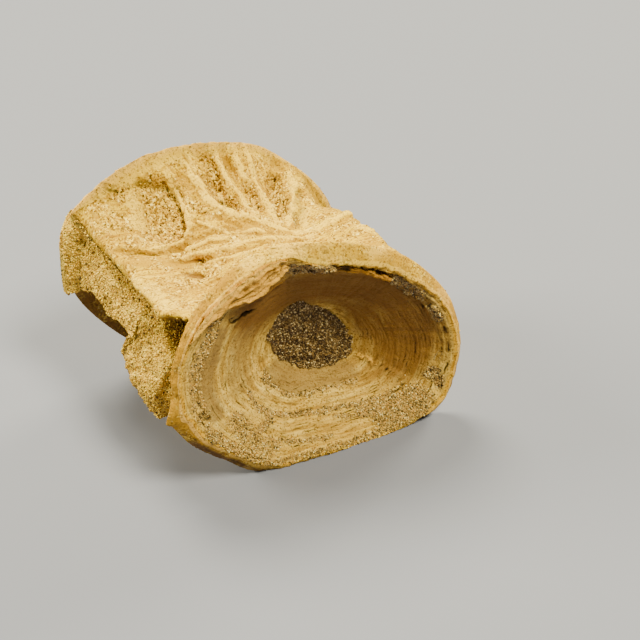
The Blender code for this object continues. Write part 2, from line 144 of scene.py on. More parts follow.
# Forms of the flank: path of (angle, place), half width, height, share of the half width that
# is level, and the finish that it carries with its strength.
FLANK_FORMS = (
    (((130, 37), (135, 34.4), (140, 31.8)), 4.1, -1.7, 0.55, "sand", 1.0),             # large pit
    (((125, 38.6), (127.8, 35.6), (131.5, 31.8), (137, 29.6)), 0.9, -0.6, 0.3, "shade", 0.42),
    (((134, 40.6), (130.5, 40.3), (126, 38.9)), 0.9, -0.6, 0.3, "shade", 0.42),
    (((138, 39.5), (141.5, 36.8), (146, 33.8)), 1.3, 0.9, 0.2, "pale", 0.7),
    (((148, 39.9), (148, 35), (149, 32.4)), 1.2, 0.4, 0.2, "pale", 0.3),
    (((144.5, 43.4), (142.3, 42.7), (140.7, 41.0)), 0.38, -0.7, 0.2, "shade", 0.55),    # nick
    (((147, 43.3), (143, 41.6)), 1.4, 0.5, 0.3, "pale", 0.5),
    (((116, 43), (122, 37.5), (127, 33)), 1.3, 0.5, 0.2, "pale", 0.5),    # rim of the pit
    (((124, 38), (125.5, 36), (127, 33), (127.5, 31), (131, 29.3), (137, 28.4),
      (149, 28.3)), 1.15, 1.2, 0.2, "pale", 1.0),
    (((117, 38.4), (117, 36.5)), 1.2, -0.4, 0.3, "ochre", 1.0),
    (((101, 42.4), (98, 41.2)), 1.1, -0.3, 0.3, "ochre", 0.8),
    (((102, 42.4), (101, 41.4), (100, 39.6), (101, 37.2)), 1.5, -1.4, 0.35, "sand", 0.9),
    (((103, 36), (103.5, 33.5), (101, 31)), 2.1, -1.8, 0.4, "sand", 1.0),
    (((104, 33.5), (102, 31)), 1.3, -0.5, 0.2, "shade", 0.5),
    (((108, 42.2), (111, 38.2), (112, 33), (109, 30.7), (104, 28.2), (95, 26.5)),
     1.5, 0.9, 0.2, "pale", 0.8),
    (((95, 40.3), (93.5, 36), (92, 32.3), (91, 29.5), (88, 27.5)), 1.0, 0.9, 0.2, "pale", 0.8),
    (((89, 41.3), (88, 37.4)), 1.1, -1.2, 0.35, "ochre", 0.9),
    (((88, 37), (89, 34)), 0.8, -0.4, 0.3, "ochre", 0.4),
    (((82, 40.6), (82, 37.3), (81, 35.8)), 1.1, 0.5, 0.3, "pale", 1.0),
    (((82, 34.7), (81, 32.9), (80, 29.8)), 1.5, -1.6, 0.4, "sand", 0.9),
    (((75, 41), (74, 37.7), (74.5, 34), (73.5, 31), (73, 27.5), (74, 24.5)),
     1.1, 0.7, 0.2, "pale", 0.9),
    (((57.5, 37.4), (59, 33), (63, 28.5)), 1.8, -2.0, 0.45, "sand", 1.0),
    # Brown in this slot is painted shade.
    (((64, 36.5), (66, 31), (68, 28)), 0.9, -0.5, 0.1, "umber", 0.6),
    (((60, 41.6), (54, 40.9), (48, 39.6)), 1.3, -0.5, 0.3, "ochre", 1.0),
    (((48, 38.4), (48.5, 34.7), (51, 31.3), (56, 28), (66, 24.5)), 1.2, 0.8, 0.25, "pale", 0.8),
    (((49, 32), (51, 27.3), (56, 22.5)), 0.9, 0.4, 0.2, "pale", 0.5),
    (((36, 42.6), (25, 41.5), (14, 41.5)), 2.6, 0.2, 0.4, "ochre", 0.7),
    (((57, 24), (53, 28), (46, 33)), 1.4, -0.5, 0.3, "shade", 0.35),
    (((95, 26.5), (84, 25), (76, 23.3), (66, 21.8), (58, 19.8)), 1.4, 0.7, 0.2, "pale", 0.8),
    (((57, 19.2), (50, 19.0), (42, 19.4)), 1.6, 0.8, 0.3, "pale", 0.9),   # strut's two lobes
    (((44, 14), (43, 8)), 2.2, 0.5, 0.3, "pale", 0.5),
    (((50, 15.2), (42, 14.6)), 0.9, -0.6, 0.2, "ochre", 0.5),
    (((141, 26), (133, 24.8), (125, 24.2), (117, 22.8)), 0.8, 0.6, 0.2, "pale", 0.7),
    (((125, 28.9), (121, 26.7), (115, 24.4), (103, 23.2), (90, 22.6)), 0.7, 0.6, 0.2, "pale", 0.8),
    (((121, 30.8), (114, 28.2), (106, 25.4)), 0.8, -0.6, 0.2, "ochre", 0.8),
    (((114, 26.2), (109, 23.6), (97, 21.6), (84, 22.4)), 0.6, -0.5, 0.2, "ochre", 0.9),
    (((137, 27.4), (130, 26.2), (122, 25.6)), 0.6, -0.5, 0.2, "ochre", 0.9),
    (((144, 24.6), (135, 22.8), (125, 20.7), (115, 19.6), (102, 18.9), (77, 19.4), (60, 18)),
     0.9, 0.7, 0.2, "pale", 0.8),
    (((140, 22), (127, 18.9), (113, 17.8), (92, 17.2), (70, 17.6)), 0.8, -0.5, 0.2, "ochre", 0.8),
    (((136, 20.2), (125, 17.5), (113, 16), (100, 15.3), (80, 15.3)), 0.9, 0.5, 0.2, "pale", 0.6),
    (((154, 29.9), (152, 28.4), (149, 27.5), (146, 27.3), (140, 26.8)),
     0.85, -1.3, 0.25, "ochre", 1.0),                                     # orange groove
    (((153.5, 29.2), (150, 27.6)), 0.45, -0.4, 0.2, "shade", 0.45),
    (((156, 26.5), (152, 24.6)), 1.3, 0.4, 0.3, "ochre", 0.7),
    # Brown in these two pits by the waist: partly their own, partly painted shade.
    (((147.5, 24.2), (141.5, 23.0)), 1.1, -1.2, 0.35, "umber", 0.95),         # pit by the waist
    (((141, 22.6), (136, 21)), 0.9, -0.6, 0.3, "sand", 0.9),
    (((148, 20.2), (145.5, 18.0)), 0.7, -1.0, 0.25, "umber", 0.95),
    (((155, 21), (150, 20.6)), 0.8, 0.5, 0.2, "pale", 0.5),
    (((157, 21.2), (156, 16.2), (153.5, 9.8)), 2.1, 0.6, 0.3, "pale", 0.6),
    (((157.5, 12), (155.5, 7.8)), 2.2, 1.3, 0.25, "pale", 0.3),           # lobe on the strut
    (((156, 4.6), (154, 4.8)), 1.0, -1.4, 0.35, "shade", 0.9),
    (((166, 11.5), (162.8, 8.6), (159, 5.4)), 2.7, -4.6, 0.5, "shade", 1.0),   # pit by the rim
    (((153, 13.5), (150, 14.7), (143, 15.1), (131, 12.6)), 0.6, -0.6, 0.2, "ochre", 0.9),
    (((147, 10.6), (141, 10.4), (133, 9)), 1.2, -0.5, 0.3, "shade", 0.3),
    (((135, 10.3), (125, 10.7), (115, 11.6), (105, 11.8), (92, 12.8)), 0.8, 0.3, 0.2, "pale", 0.7),
    (((118, 8.4), (98, 9.2), (76, 9.4)), 1.5, -0.3, 0.3, "ochre", 0.5),
    (((74, 7), (58, 7), (44, 6.4)), 2.4, 0.1, 0.3, "ochre", 0.7),
    (((346, 38), (349, 26)), 2.0, -1.6, 0.40, "sand", 0.9),               # right flank
    (((352, 37), (355, 29)), 0.9, 0.7, 0.2, "pale", 0.8),
    (((5, 37), (3, 18)), 2.2, -1.9, 0.40, "sand", 0.9),
    (((12, 39), (11, 20)), 0.9, 0.6, 0.2, "pale", 0.8),
    (((352, 15), (350, 8)), 2.0, -1.4, 0.40, "sand", 0.9),
    (((19, 36), (20, 25)), 1.6, -1.2, 0.40, "ochre", 0.8),
    (((333, 39), (336, 30), (334, 22)), 1.4, -1.0, 0.3, "ochre", 0.7),
    (((25, 12), (8, 11.5), (358, 10)), 1.0, -0.5, 0.3, "ochre", 0.7),
    (((262, 34), (263, 11)), 2.6, -2.2, 0.40, "sand", 1.0),               # underside
    (((286, 36), (284, 13)), 2.4, -2.0, 0.40, "sand", 1.0),
    (((273, 38), (274, 24), (273, 9)), 1.1, 0.7, 0.2, "pale", 0.7),
    (((298, 35), (299, 18)), 1.2, -0.9, 0.3, "ochre", 0.8),
    (((249, 33), (250, 14)), 1.2, -0.9, 0.3, "ochre", 0.7),
    (((222, 35), (214, 24)), 2.2, -1.5, 0.40, "sand", 0.9),               # lower left flank
    (((206, 30), (200, 36)), 1.8, -0.9, 0.3, "sand", 0.8),
    (((219, 18), (222, 8)), 1.7, -0.9, 0.3, "sand", 0.8),
    # Painted shade: brown over the far end's lower left underside, which faces the floor.
    (((184, 31), (190, 38)), 2.6, -0.6, 0.3, "umber", 0.9),
    (((189, 42.5), (200, 42), (210, 41)), 4.5, -0.4, 0.5, "umber", 1.0),
    (((192, 36), (206, 33)), 5.0, -0.4, 0.5, "umber", 1.0),
    (((188, 28), (196, 14)), 6.0, -0.5, 0.5, "umber", 1.0),
)
# Finish without form: sand and stains that lie on the flank as the bone left them, brown on the
# underside by the near lip, and cream along the far lip's top that is partly painted light.
FLANK_STAINS = (
    (((136, 42.4), (141, 40.4)), 1.7, "sand", 0.55),
    (((148, 40.4), (147, 37.6)), 1.4, "sand", 0.4),
    (((130, 30.5), (143, 30.2)), 1.8, "sand", 0.8),
    (((121, 34), (118, 31)), 1.4, "sand", 0.5),
    (((145, 26), (140, 24)), 1.2, "sand", 0.5),
    (((150, 17.5), (140, 17)), 1.3, "sand", 0.5),
    (((110, 26.6), (98, 23.6)), 1.2, "ochre", 0.6),
    (((92, 24), (78, 21.3)), 1.2, "ochre", 0.5),
    (((153, 27.0), (146, 22.5)), 1.6, "ochre", 0.6),
    (((104, 39), (107, 34)), 1.0, "ochre", 0.4),
    (((70, 22), (62, 24)), 1.3, "ochre", 0.7),
    (((46, 22), (40, 26)), 2.0, "ochre", 0.6),
    (((205, 3), (230, 3), (255, 3)), 3.6, "umber", 0.8),
    (((60, 42.4), (85, 42.6), (115, 42.4), (150, 42.6)), 1.7, "pale", 1.1),
)
STRUT_FACE = ((151, 42), (151.5, 36), (153, 31), (154, 28))   # smooth yellow crest of the strut

# Line round the waist that the fibres of the bone follow.
WAIST_LINE = ((0, 19), (60, 18.3), (81, 20.6), (104, 22), (120, 23.1), (134, 25.1),
              (144, 26), (155, 29), (180, 26), (235, 22), (300, 21))
FIBRE_REACH = (4.0, 11.0)    # the fibres fade between these distances from that line

# Steps of a cup's wall: share of the radius at which each stands, by angle, then its height
# and the reach of its shelf, by angle, and the finish of the shelf that it leaves.
NEAR_STEPS = (
    (((0, 0.965), (15, 0.95), (45, 0.955), (70, 0.95), (87, 0.93), (101, 0.97), (115, 1.0),
      (135, 1.01), (160, 1.0), (185, 0.985), (200, 0.975), (240, 0.985), (280, 0.975),
      (305, 0.99), (330, 0.98)),
     ((0, 0.35), (20, 0.5), (60, 0.9), (95, 0.9), (115, 0.5), (150, 0.35), (180, 0.5),
      (210, 0.6), (250, 0.25), (300, 0.3), (335, 0.45)), 1.4),
    (((0, 0.925), (30, 0.92), (60, 0.93), (95, 0.915), (109, 0.93), (120, 0.955), (135, 0.955),
      (143, 0.965), (160, 0.95)),
     ((0, 0.35), (30, 0.2), (60, 0.35), (90, 0.3), (105, 0.6), (120, 0.8), (140, 0.7),
      (156, 0.25), (175, 0.0), (340, 0.0)), 1.2),
    (((0, 0.87), (11, 0.88), (27, 0.865), (45, 0.86), (61, 0.865), (82, 0.86), (97, 0.855),
      (109, 0.81), (114, 0.77), (127, 0.745), (135, 0.785), (139, 0.84), (144, 0.90),
      (150, 0.89), (164, 0.80), (176, 0.87), (190, 0.93)),
     ((0, 0.35), (15, 0.8), (40, 0.7), (62, 0.55), (85, 0.8), (110, 0.7), (127, 0.7),
      (139, 0.6), (150, 0.25), (185, 0.15), (200, 0.0), (345, 0.0)), 1.6),
    (((0, 0.50), (100, 0.52), (170, 0.34), (192, 0.31), (201, 0.42), (214, 0.46), (234, 0.48),
      (262, 0.51), (290, 0.51), (315, 0.49)),
     ((0, 0.05), (150, 0.05), (185, 0.2), (200, 0.4), (300, 0.35), (325, 0.08)),
     1.8),
    (((0, 0.70), (180, 0.60), (207, 0.61), (214, 0.64), (228, 0.67), (243, 0.635),
      (263, 0.65), (286, 0.67), (301, 0.68), (316, 0.72)),
     ((0, 0.08), (150, 0.1), (190, 0.3), (300, 0.35), (330, 0.12)), 1.5),
    (((0, 0.80), (190, 0.76), (219, 0.78), (241, 0.81), (260, 0.86), (278, 0.88), (300, 0.88)),
     ((0, 0.06), (170, 0.1), (205, 0.25), (285, 0.2), (310, 0.0)), 1.2),
    (((0, 0.91), (336, 0.92), (350, 0.915)),
     ((0, 0.3), (12, 0.0), (325, 0.0), (338, 0.35)), 0.9),
    (((0, 0.945), (336, 0.95), (350, 0.955)),
     ((0, 0.2), (12, 0.0), (325, 0.0), (338, 0.25)), 0.8),
    (((0, 0.57), (180, 0.50), (240, 0.56), (300, 0.59)),
     ((0, 0.08), (200, 0.2), (300, 0.22)), 1.0),
)
FAR_STEPS = (
    (((0, 0.975), (60, 0.985), (130, 0.97), (200, 0.98), (300, 0.97)),
     ((0, 0.35), (60, 0.25), (130, 0.5), (200, 0.5), (300, 0.4)), 1.3),
    (((0, 0.90), (40, 0.88), (85, 0.91), (140, 0.86), (190, 0.90), (240, 0.88), (310, 0.91)),
     ((0, 0.5), (50, 0.6), (90, 0.1), (140, 0.7), (200, 0.6), (240, 0.1), (310, 0.5)), 1.5),
    (((0, 0.76), (70, 0.74), (150, 0.70), (230, 0.76), (300, 0.73)),
     ((0, 0.15), (120, 0.35), (220, 0.4), (300, 0.25)), 1.6),
    (((0, 0.55), (90, 0.58), (200, 0.54), (290, 0.59)),
     ((0, 0.3), (120, 0.15), (230, 0.35)), 1.6),
    (((0, 0.36), (140, 0.33), (260, 0.38)),
     ((0, 0.2), (180, 0.3)), 1.4),
)
# Patches of a cup: path of (angle, share), half width, height, level share, finish, strength.
NEAR_PATCHES = (
    (((300, 0.75), (309, 0.79), (318, 0.84), (318, 0.93)), 2.6, 0.35, 0.4, "sand", 1.0),
    (((305, 0.90), (316, 0.96)), 2.4, 0.25, 0.4, "sand", 1.0),
    (((204, 0.985), (216, 0.975), (240, 0.975)), 1.2, 0.2, 0.4, "sand", 0.75),
    (((240, 0.975), (262, 0.97), (282, 0.965), (300, 0.96), (320, 0.97)), 1.2, 0.15, 0.4,
     "sand", 0.6),
    (((212, 0.80), (225, 0.86), (243, 0.88)), 2.6, 0.12, 0.3, "sand", 0.5),
    (((234, 0.70), (231, 0.80)), 1.6, 0.1, 0.3, "sand", 0.7),
    (((208, 0.45), (217, 0.47)), 0.9, 0.08, 0.3, "sand", 0.8),
    (((201, 0.42), (214, 0.455), (234, 0.475), (262, 0.505), (290, 0.505), (306, 0.49)),
     0.5, 0.0, 0.2, "sand", 0.75),
    (((207, 0.605), (214, 0.635), (228, 0.665), (243, 0.63), (263, 0.645), (286, 0.665),
      (301, 0.675), (314, 0.715)), 0.6, 0.0, 0.2, "sand", 0.85),
    (((241, 0.805), (260, 0.855), (278, 0.875)), 0.5, 0.0, 0.2, "sand", 0.7),
    (((282, 0.73), (296, 0.77)), 0.9, 0.0, 0.2, "sand", 0.6),
    (((330, 0.86), (331, 0.92), (328, 0.97)), 1.5, -0.5, 0.3, "crust", 0.9),
    (((337, 0.89), (340, 0.9)), 1.0, -0.3, 0.3, "crust", 0.5),
    (((84, 0.90), (92, 0.895), (106, 0.91)), 1.9, 0.1, 0.5, "crust", 1.0),
    (((60, 0.905), (70, 0.90), (82, 0.905)), 1.1, 0.5, 0.3, "ochre", 0.9),
    (((62, 0.945), (72, 0.94), (80, 0.945)), 0.5, -0.6, 0.2, "shade", 0.8),
    (((88, 0.88), (95, 0.895)), 0.8, -0.5, 0.2, "shade", 0.5),
    (((71, 0.91), (79, 0.895)), 0.8, -0.6, 0.2, "shade", 0.6),
    (((58, 0.90), (48, 0.885), (38, 0.89)), 0.8, 1.2, 0.3, "ochre", 0.7),
    (((56, 0.935), (44, 0.93)), 0.5, -0.5, 0.2, "shade", 0.7),
    (((36, 0.90), (26, 0.905), (17, 0.925)), 1.5, -0.5, 0.4, "crust", 1.0),
    (((20, 0.87), (13, 0.90)), 1.0, -0.2, 0.3, "crust", 0.9),
    (((5, 0.92), (1, 0.95), (358, 0.925)), 1.1, 0.3, 0.4, "crust", 0.8),
    (((147, 0.80), (143, 0.755), (138, 0.715)), 0.75, -0.8, 0.2, "shade", 1.0),
    (((148, 0.93), (158, 0.90), (170, 0.925), (183, 0.95), (197, 0.955)), 1.9, -0.1, 0.4,
     "sand", 0.45),
    (((186, 0.955), (194, 0.955), (200, 0.94)), 0.7, -0.4, 0.2, "shade", 0.7),
    (((112, 0.985), (122, 0.99), (134, 0.985), (143, 0.99)), 0.8, 0.0, 0.3, "ochre", 0.9),
    (((110, 0.88), (120, 0.86), (130, 0.86), (139, 0.90)), 1.3, 0.0, 0.3, "ochre", 0.55),
    (((112, 0.80), (124, 0.775)), 0.8, 0.0, 0.3, "ochre", 0.4),
    (((280, 0.62), (262, 0.60)), 1.6, 0.0, 0.3, "pale", 0.3),
    (((215, 0.36), (235, 0.38), (262, 0.40), (300, 0.40)), 3.2, 0.0, 0.3, "grey", 0.85),
    # Painted shade: brown over the cup's upper and right walls and round the plug's top, where the
    # lip keeps the lamps off, over the walls' own browner tone.
    (((136, 0.66), (112, 0.62), (90, 0.64), (66, 0.66), (40, 0.70), (20, 0.74)), 8.0, 0.0, 0.6,
     "umber", 1.0),
    (((20, 0.74), (5, 0.74), (350, 0.70), (336, 0.62)), 7.4, 0.0, 0.6, "umber", 0.95),
    (((350, 0.44), (20, 0.48), (60, 0.52), (100, 0.52)), 4.4, 0.0, 0.5, "umber", 0.9),
    (((352, 0.88), (340, 0.86), (332, 0.82)), 1.6, 0.0, 0.4, "umber", 0.4),
    (((156, 0.86), (168, 0.84), (182, 0.88), (200, 0.88)), 2.4, 0.0, 0.4, "grey", 0.9),
    (((158, 0.62), (176, 0.60), (196, 0.62)), 3.4, 0.0, 0.3, "grey", 0.45),
    # Painted highlight along the crease's lit edge.
    (((322.4, 0.36), (323.0, 0.41), (323.4, 0.47)), 0.5, 0.4, 0.2, "pale", 0.5),
    (((323.5, 0.50), (324.0, 0.60), (324.0, 0.70)), 0.5, 0.25, 0.2, "pale", 0.35),
)
FAR_PATCHES = (
    (((215, 0.97), (240, 0.96), (265, 0.955), (290, 0.965), (315, 0.97)), 2.0, 0.3, 0.4,
     "sand", 1.0),
    (((248, 0.80), (262, 0.74), (280, 0.80)), 3.0, 0.25, 0.3, "sand", 0.8),
    (((60, 0.10), (200, 0.10)), 3.4, 0.5, 0.4, "sand", 0.9),
    (((130, 0.93), (145, 0.92), (158, 0.94)), 1.8, -0.3, 0.4, "crust", 0.9),
    (((20, 0.93), (44, 0.92)), 1.4, -0.3, 0.4, "crust", 0.8),
    (((200, 0.88), (214, 0.86)), 1.2, -0.3, 0.3, "shade", 0.6),
    (((110, 0.94), (98, 0.95)), 1.1, 0.1, 0.3, "ochre", 0.9),
    (((320, 0.92), (345, 0.93)), 1.2, 0.1, 0.3, "ochre", 0.8),
    (((250, 0.565), (290, 0.60)), 0.6, 0.0, 0.2, "sand", 0.8),
)
FINISHES = ("sand", "ochre", "pale", "shade", "crust", "umber", "grey")

# Broken laminae at the near lip's upper left: inner edge by angle, as a share of the crest's
# radius, then the part of the crest's set-back and the depth at which each one lies.
LAMINAE = (
    (((103, 1.02), (109, 0.975), (114, 0.955), (120, 0.945), (129, 0.945), (134, 0.94),
      (143, 0.92), (150, 0.955), (157, 0.985), (163, 1.02)), 0.45, 0.15),
    (((104, 1.02), (108, 0.88), (115, 0.825), (125, 0.795), (131, 0.81), (137, 0.855),
      (144, 0.91), (149, 0.95), (154, 0.985), (158, 1.02)), 0.5, 1.15),
    (((106, 1.02), (110, 0.93), (116, 0.905), (124, 0.885), (131, 0.895), (138, 0.93),
      (143, 0.97), (147, 1.02)), 0.5, 0.70),
)
LAYER_GAP, LAYER_HEIGHT = 1.05, 0.13     # between the laminae's own thin layers, and their step
# Cavity under the near lip's edge: its depth by angle, and the share at which it ends.
CAVITY = ((0, 0.7), (8, 0.9), (16, 1.2), (34, 1.0), (44, 0.6), (57, 0.7), (66, 1.1), (80, 1.3),
          (95, 1.2), (102, 0.8), (108, 0.0), (336, 0.0), (348, 0.4))
CAVITY_END = 0.90

# Finish of the near lip by angle; "lip" is its share of waxy edge. Its brown from 145 to 230
# degrees is painted shade that holds down the lower left, where the left lamp falls.
LIP_TONES = {
    "ochre": ((0, 0.45), (45, 0.5), (75, 0.5), (100, 0.4), (118, 0.3), (128, 0.7), (150, 0.9),
              (205, 0.95), (225, 0.4), (260, 0.2), (310, 0.3), (335, 0.6)),
    "pale": ((0, 0.3), (40, 0.35), (70, 0.45), (100, 0.55), (118, 0.6), (130, 0.1), (215, 0.0),
             (240, 0.5), (300, 0.45), (330, 0.2)),
    "umber": ((0, 0.3), (30, 0.2), (60, 0.0), (130, 0.05), (145, 0.35), (165, 0.5), (205, 0.6),
              (230, 0.5), (262, 0.2), (320, 0.2), (340, 0.4)),
    "lip": ((0, 0.8), (40, 0.5), (60, 0.3), (120, 0.2), (132, 0.7), (145, 1.0), (215, 1.0),
            (235, 0.6), (330, 0.7)),
}
# Finish of the far lip by angle: brown that is painted shade on its underside, and cream on its
# upper side that is partly its own edge and partly painted light; and how broken the near lip's
# edge is, by angle.
FAR_UNDER_SHADE = ((0, 0.1), (150, 0.0), (176, 0.1), (188, 0.9), (222, 0.9), (250, 0.5), (330, 0.4))
FAR_PALE_AND_HIGHLIGHT = ((0, 0.8), (40, 1.2), (140, 1.2), (165, 0.5), (185, 0.0), (330, 0.0))
BROKEN = ((0, 0.8), (20, 1.3), (45, 1.6), (75, 1.5), (105, 1.6), (120, 0.9), (140, 0.5),
          (160, 0.35), (210, 0.4), (235, 0.8), (290, 0.9), (318, 1.1), (335, 1.0))

# Sand plug in the near cup: its outline as shares of the cup's radius every 22.5 degrees.
PLUG_OUTLINE = (0.25, 0.27, 0.29, 0.34, 0.39, 0.415, 0.40, 0.36,
                0.31, 0.285, 0.27, 0.28, 0.315, 0.335, 0.34, 0.30)
PLUG_DEPTH = 11.2                # of its middle, below the near lip
PLUG_SUNK = 0.15                 # of its underside into the cup's wall
PLUG_COLUMNS = 200
PLUG_ROWS = 56
PLUG_UNDER_ROWS = 6

# Sand plate on the left flank: its upper border and its broken lower edge, point for point.
PLATE_BORDER = ((153.0, 43.1), (155.5, 39.5), (157.5, 35.0), (159.0, 31.0), (160.3, 27.0),
                (161.5, 23.0), (162.0, 18.0), (161.0, 11.5), (161.5, 9.0), (162.5, 6.6),
                (163.5, 5.0), (165.0, 3.0))
PLATE_EDGE = ((184.5, 43.5), (182.5, 40.5), (177.5, 37.0), (174.5, 31.8), (178.5, 28.8),
              (177.0, 23.5), (176.8, 18.6), (188.5, 23.4), (197.0, 20.5), (200.0, 15.5),
              (202.5, 10.0), (204.0, 3.2))
PLATE_PIT = (((159.0, 10.8), (163.0, 9.0), (167.0, 7.6)), 3.3, 4.6)    # path, reach, depth
COVER_END, COVER_DEPTH = (183.0, 176.0), 0.35    # of the bone's lower face under the plate
PLATE_SHARE = (0.875, 0.955)     # shares of the rim's radius at the border and at the edge,
PLATE_ENDS = 0.03                # with this much more at both ends
PLATE_BULGE = 0.13               # and this much more at the lobe:
PLATE_LOBE = (194.0, 13.0, 14.0, 12.0)           # its angle, place and their reaches
PLATE_THIN = 0.7                 # least thickness over the bone
PLATE_THINNING = (37.0, 43.5)    # places between which the plate thins
PLATE_FLUSH = (39.0, 41.6)       # and between which it climbs to the rim
PLATE_CLEAR = 0.1                # height over the rim there,
PLATE_PROUD = 1.4                # and what its lower corner adds
PLATE_UNDERCUT = 5.0             # degrees by which the back stays behind at the lower edge,
UNDERCUT_START = 0.3             # from this share of the way down
PLATE_RISE_FAR = (-0.30, 0.05)   # shares over which the plate rises to full thickness from
PLATE_RISE_NEAR = (0.0, 0.10)    # its far end, from its near end
PLATE_RISE_DOWN = (-0.25, 0.30)  # and from its border
PLATE_COLUMNS = 230
PLATE_ROWS = 120

# The facet also carries painted light: a lighter yellow pool on the plate.
FACET = (193.5, 3.5, 23.0, 2.4)      # smooth face by the lobe's tip: angle, place and reaches
IMPRINT = (163.0, 39.0, 1.3)         # small ring pressed into the plate: angle, place, radius

GOLDEN_ANGLE = 2.399963      # in radians, spreads the noise directions evenly
SPIRAL = np.arange(256)
SPIRAL_Z = 1 - (2 * SPIRAL + 1) / 256
DIRECTIONS = np.stack([np.sqrt(1 - SPIRAL_Z ** 2) * np.cos(GOLDEN_ANGLE * SPIRAL),
                       np.sqrt(1 - SPIRAL_Z ** 2) * np.sin(GOLDEN_ANGLE * SPIRAL),
                       SPIRAL_Z], axis=-1)

# Loose grains: nominal width, share that is sunk in, and the flank's width as a share.
GRAIN_WIDTH, GRAIN_SINK, FLANK_GRAINS = 0.29, 0.3, 0.8
WHOLE = ((0.0, 0.0), (1.0, 1.0))     # stops that use a mask as it is
SAND_CELLS, CRUST_CELLS = 2600.0, 1800.0     # per metre: grains of 0.38 and 0.56 mm

# Stage, in metres and watts. Lamps: name, direction from the fossil, width of the disc, power.
FLOOR_HALF = 1.6
LAMPS = (
    ("key", (0.84, 0.34, 0.44), 0.36, 12.5),
    ("top", (-0.05, 0.50, 0.86), 0.45, 16.0),
    ("front", (0.15, -0.50, 0.85), 0.30, 16.0),
    ("left", (-0.76, 0.44, 0.48), 0.45, 15.0),
)
LAMP_DISTANCE, LAMP_AIM = 0.9, (0, 0, 0.02)
WARM_DROP = (0.0, 0.06, 0.52)    # what full warmth takes from red, green and blue
WORLD_COLOUR, WORLD_STRENGTH = (1.0, 0.92, 0.75, 1.0), 0.04
CAMERA_PLACE = (-0.12894, -0.27342, 0.22975)
CAMERA_AHEAD = (0.37570, 0.72792, -0.57358)
CAMERA_LENS, CAMERA_SENSOR = 109.18, 36.0        # millimetres

POLE = (np.zeros((1, 1)), np.full((1, 1), 1e-4))     # angle and share of a cup's bottom
BUILT = {}                   # surfaces that the loose grains are scattered over


def smoothstep(low, high, value):
    """Rise from 0 at low to 1 at high with level ends: 3s^2 - 2s^3 of the share s."""
    share = np.clip((value - low) / (high - low), 0.0, 1.0)
    return share * share * (3.0 - 2.0 * share)


def turn_between(angle, other):
    """Signed turn in degrees from one angle to another, between -180 and 180."""
    return (angle - other + 180.0) % 360.0 - 180.0


def closed_curve(values, angle):
    """Smooth closed curve through values spaced evenly round a turn, read at angle."""
    points = np.asarray(values, float)
    place = np.asarray(angle, float) / 360.0 * len(points)
    start = np.floor(place).astype(int)
    step = place - start
    a, b, c, d = (points[(start + shift) % len(points)] for shift in (-1, 0, 1, 2))
    return 0.5 * (2 * b + (c - a) * step + (2 * a - 5 * b + 4 * c - d) * step ** 2
                  + (3 * b - a - 3 * c + d) * step ** 3)


def by_angle(table, angle):
    """Value read at an angle from (angle, value) pairs, straight between neighbours and on
    from the last pair to the first."""
    angles, values = np.array(table, float).T
    return np.interp(angle, angles, values, period=360.0)


def noise(points, seed=0):
    """Gradient noise, about -1 to 1: each corner of a point's unit cell holds a fixed direction,
    and the point's offsets along the eight directions blend with quintic weights."""
    cell = np.floor(points).astype(np.int64)
    inside = points - cell
    blend = inside ** 3 * (inside * (inside * 6 - 15) + 10)
    total = np.zeros(points.shape[:-1])
    for corner in np.ndindex(2, 2, 2):
        spot = cell + corner
        number = ((spot[..., 0] * 73856093) ^ (spot[..., 1] * 19349663)
                  ^ (spot[..., 2] * 83492791) ^ (seed * 37476139))
        number = ((number ^ (number >> 13)) * 1274126177) & 0xFFFFFFFF
        number = (number ^ (number >> 15)) & 255
        weight = np.prod(np.where(corner, blend, 1 - blend), axis=-1)
        total += weight * (DIRECTIONS[number] * (inside - corner)).sum(-1)
    return total * 1.7


def rough(points, size, octaves=4, seed=0, keep=0.5):
    """Fractal noise: octaves of noise, each half the size and keep times the strength."""
    total, weight = 0.0, 1.0
    for octave in range(octaves):
        total = total + weight * noise(points * (2.0 ** octave / size), seed + octave)
        weight *= keep
    return total


def stacked(*parts):
    """Points from coordinates that may differ in shape."""
    return np.stack(np.broadcast_arrays(*parts), axis=-1)


def stronger(finish, name, amount):
    """Raise one finish to an amount wherever it is weaker."""
    finish[name] = np.maximum(finish[name], amount)


def rim_outline(end, angle):
    """Radius of an end's rim: a closed curve, fuller where the rim has a spur or a corner."""
    return closed_curve(end["rim"], angle) + by_angle(end["fuller"], angle)


def rim_radius(angle, place):
    """Radius of the straight loft from the near rim to the far rim; the near rim's fuller
    places fade out over FULLER_FADE."""
    share = place / LENGTH
    fuller = by_angle(NEAR_END["fuller"], angle) * smoothstep(*FULLER_FADE, place)
    return (closed_curve(NEAR_RIM, angle) * (1 - share) + closed_curve(FAR_RIM, angle) * share
            + fuller)


def strut_angle(strut, share):
    """Angle of a strut's crest: a parabola through its angles at both lips and between."""
    near, middle, far = strut[:3]
    return (near * (1 - share) * (1 - 2 * share) + middle * 4 * share * (1 - share)
            + far * share * (2 * share - 1))


def column_angles(share):
    """Angles of one ring of vertices: evenly spaced, crowded towards the broken-up side, and
    drawn along beside the left strut's crest."""
    even = np.arange(COLUMNS) * 360.0 / COLUMNS
    angle = even - CROWDING * np.sin(np.radians(even - CROWDED_ANGLE))
    left = STRUTS[0]
    near = np.exp(-(turn_between(angle, left[0]) / FOLLOW_REACH) ** 2)
    return angle + (strut_angle(left, share) - left[0]) * near


def hollow_share(angle, share):
    """Share of the rim radius that the waist takes away, less what the struts fill."""
    hollow = np.full(np.broadcast(angle, share).shape, WAIST_DEPTH)
    for strut in STRUTS:
        half_width, fill_near, fill_far = strut[3:]
        centre = strut_angle(strut, share)
        fill = fill_near + (fill_far - fill_near) * smoothstep(*STRUT_CHANGE, share)
        hollow = hollow * (1 - fill * np.exp(-(turn_between(angle, centre) / half_width) ** 2))
    return hollow * np.sin(np.pi * np.clip(share, 0.0, 1.0)) ** WAIST_POWER


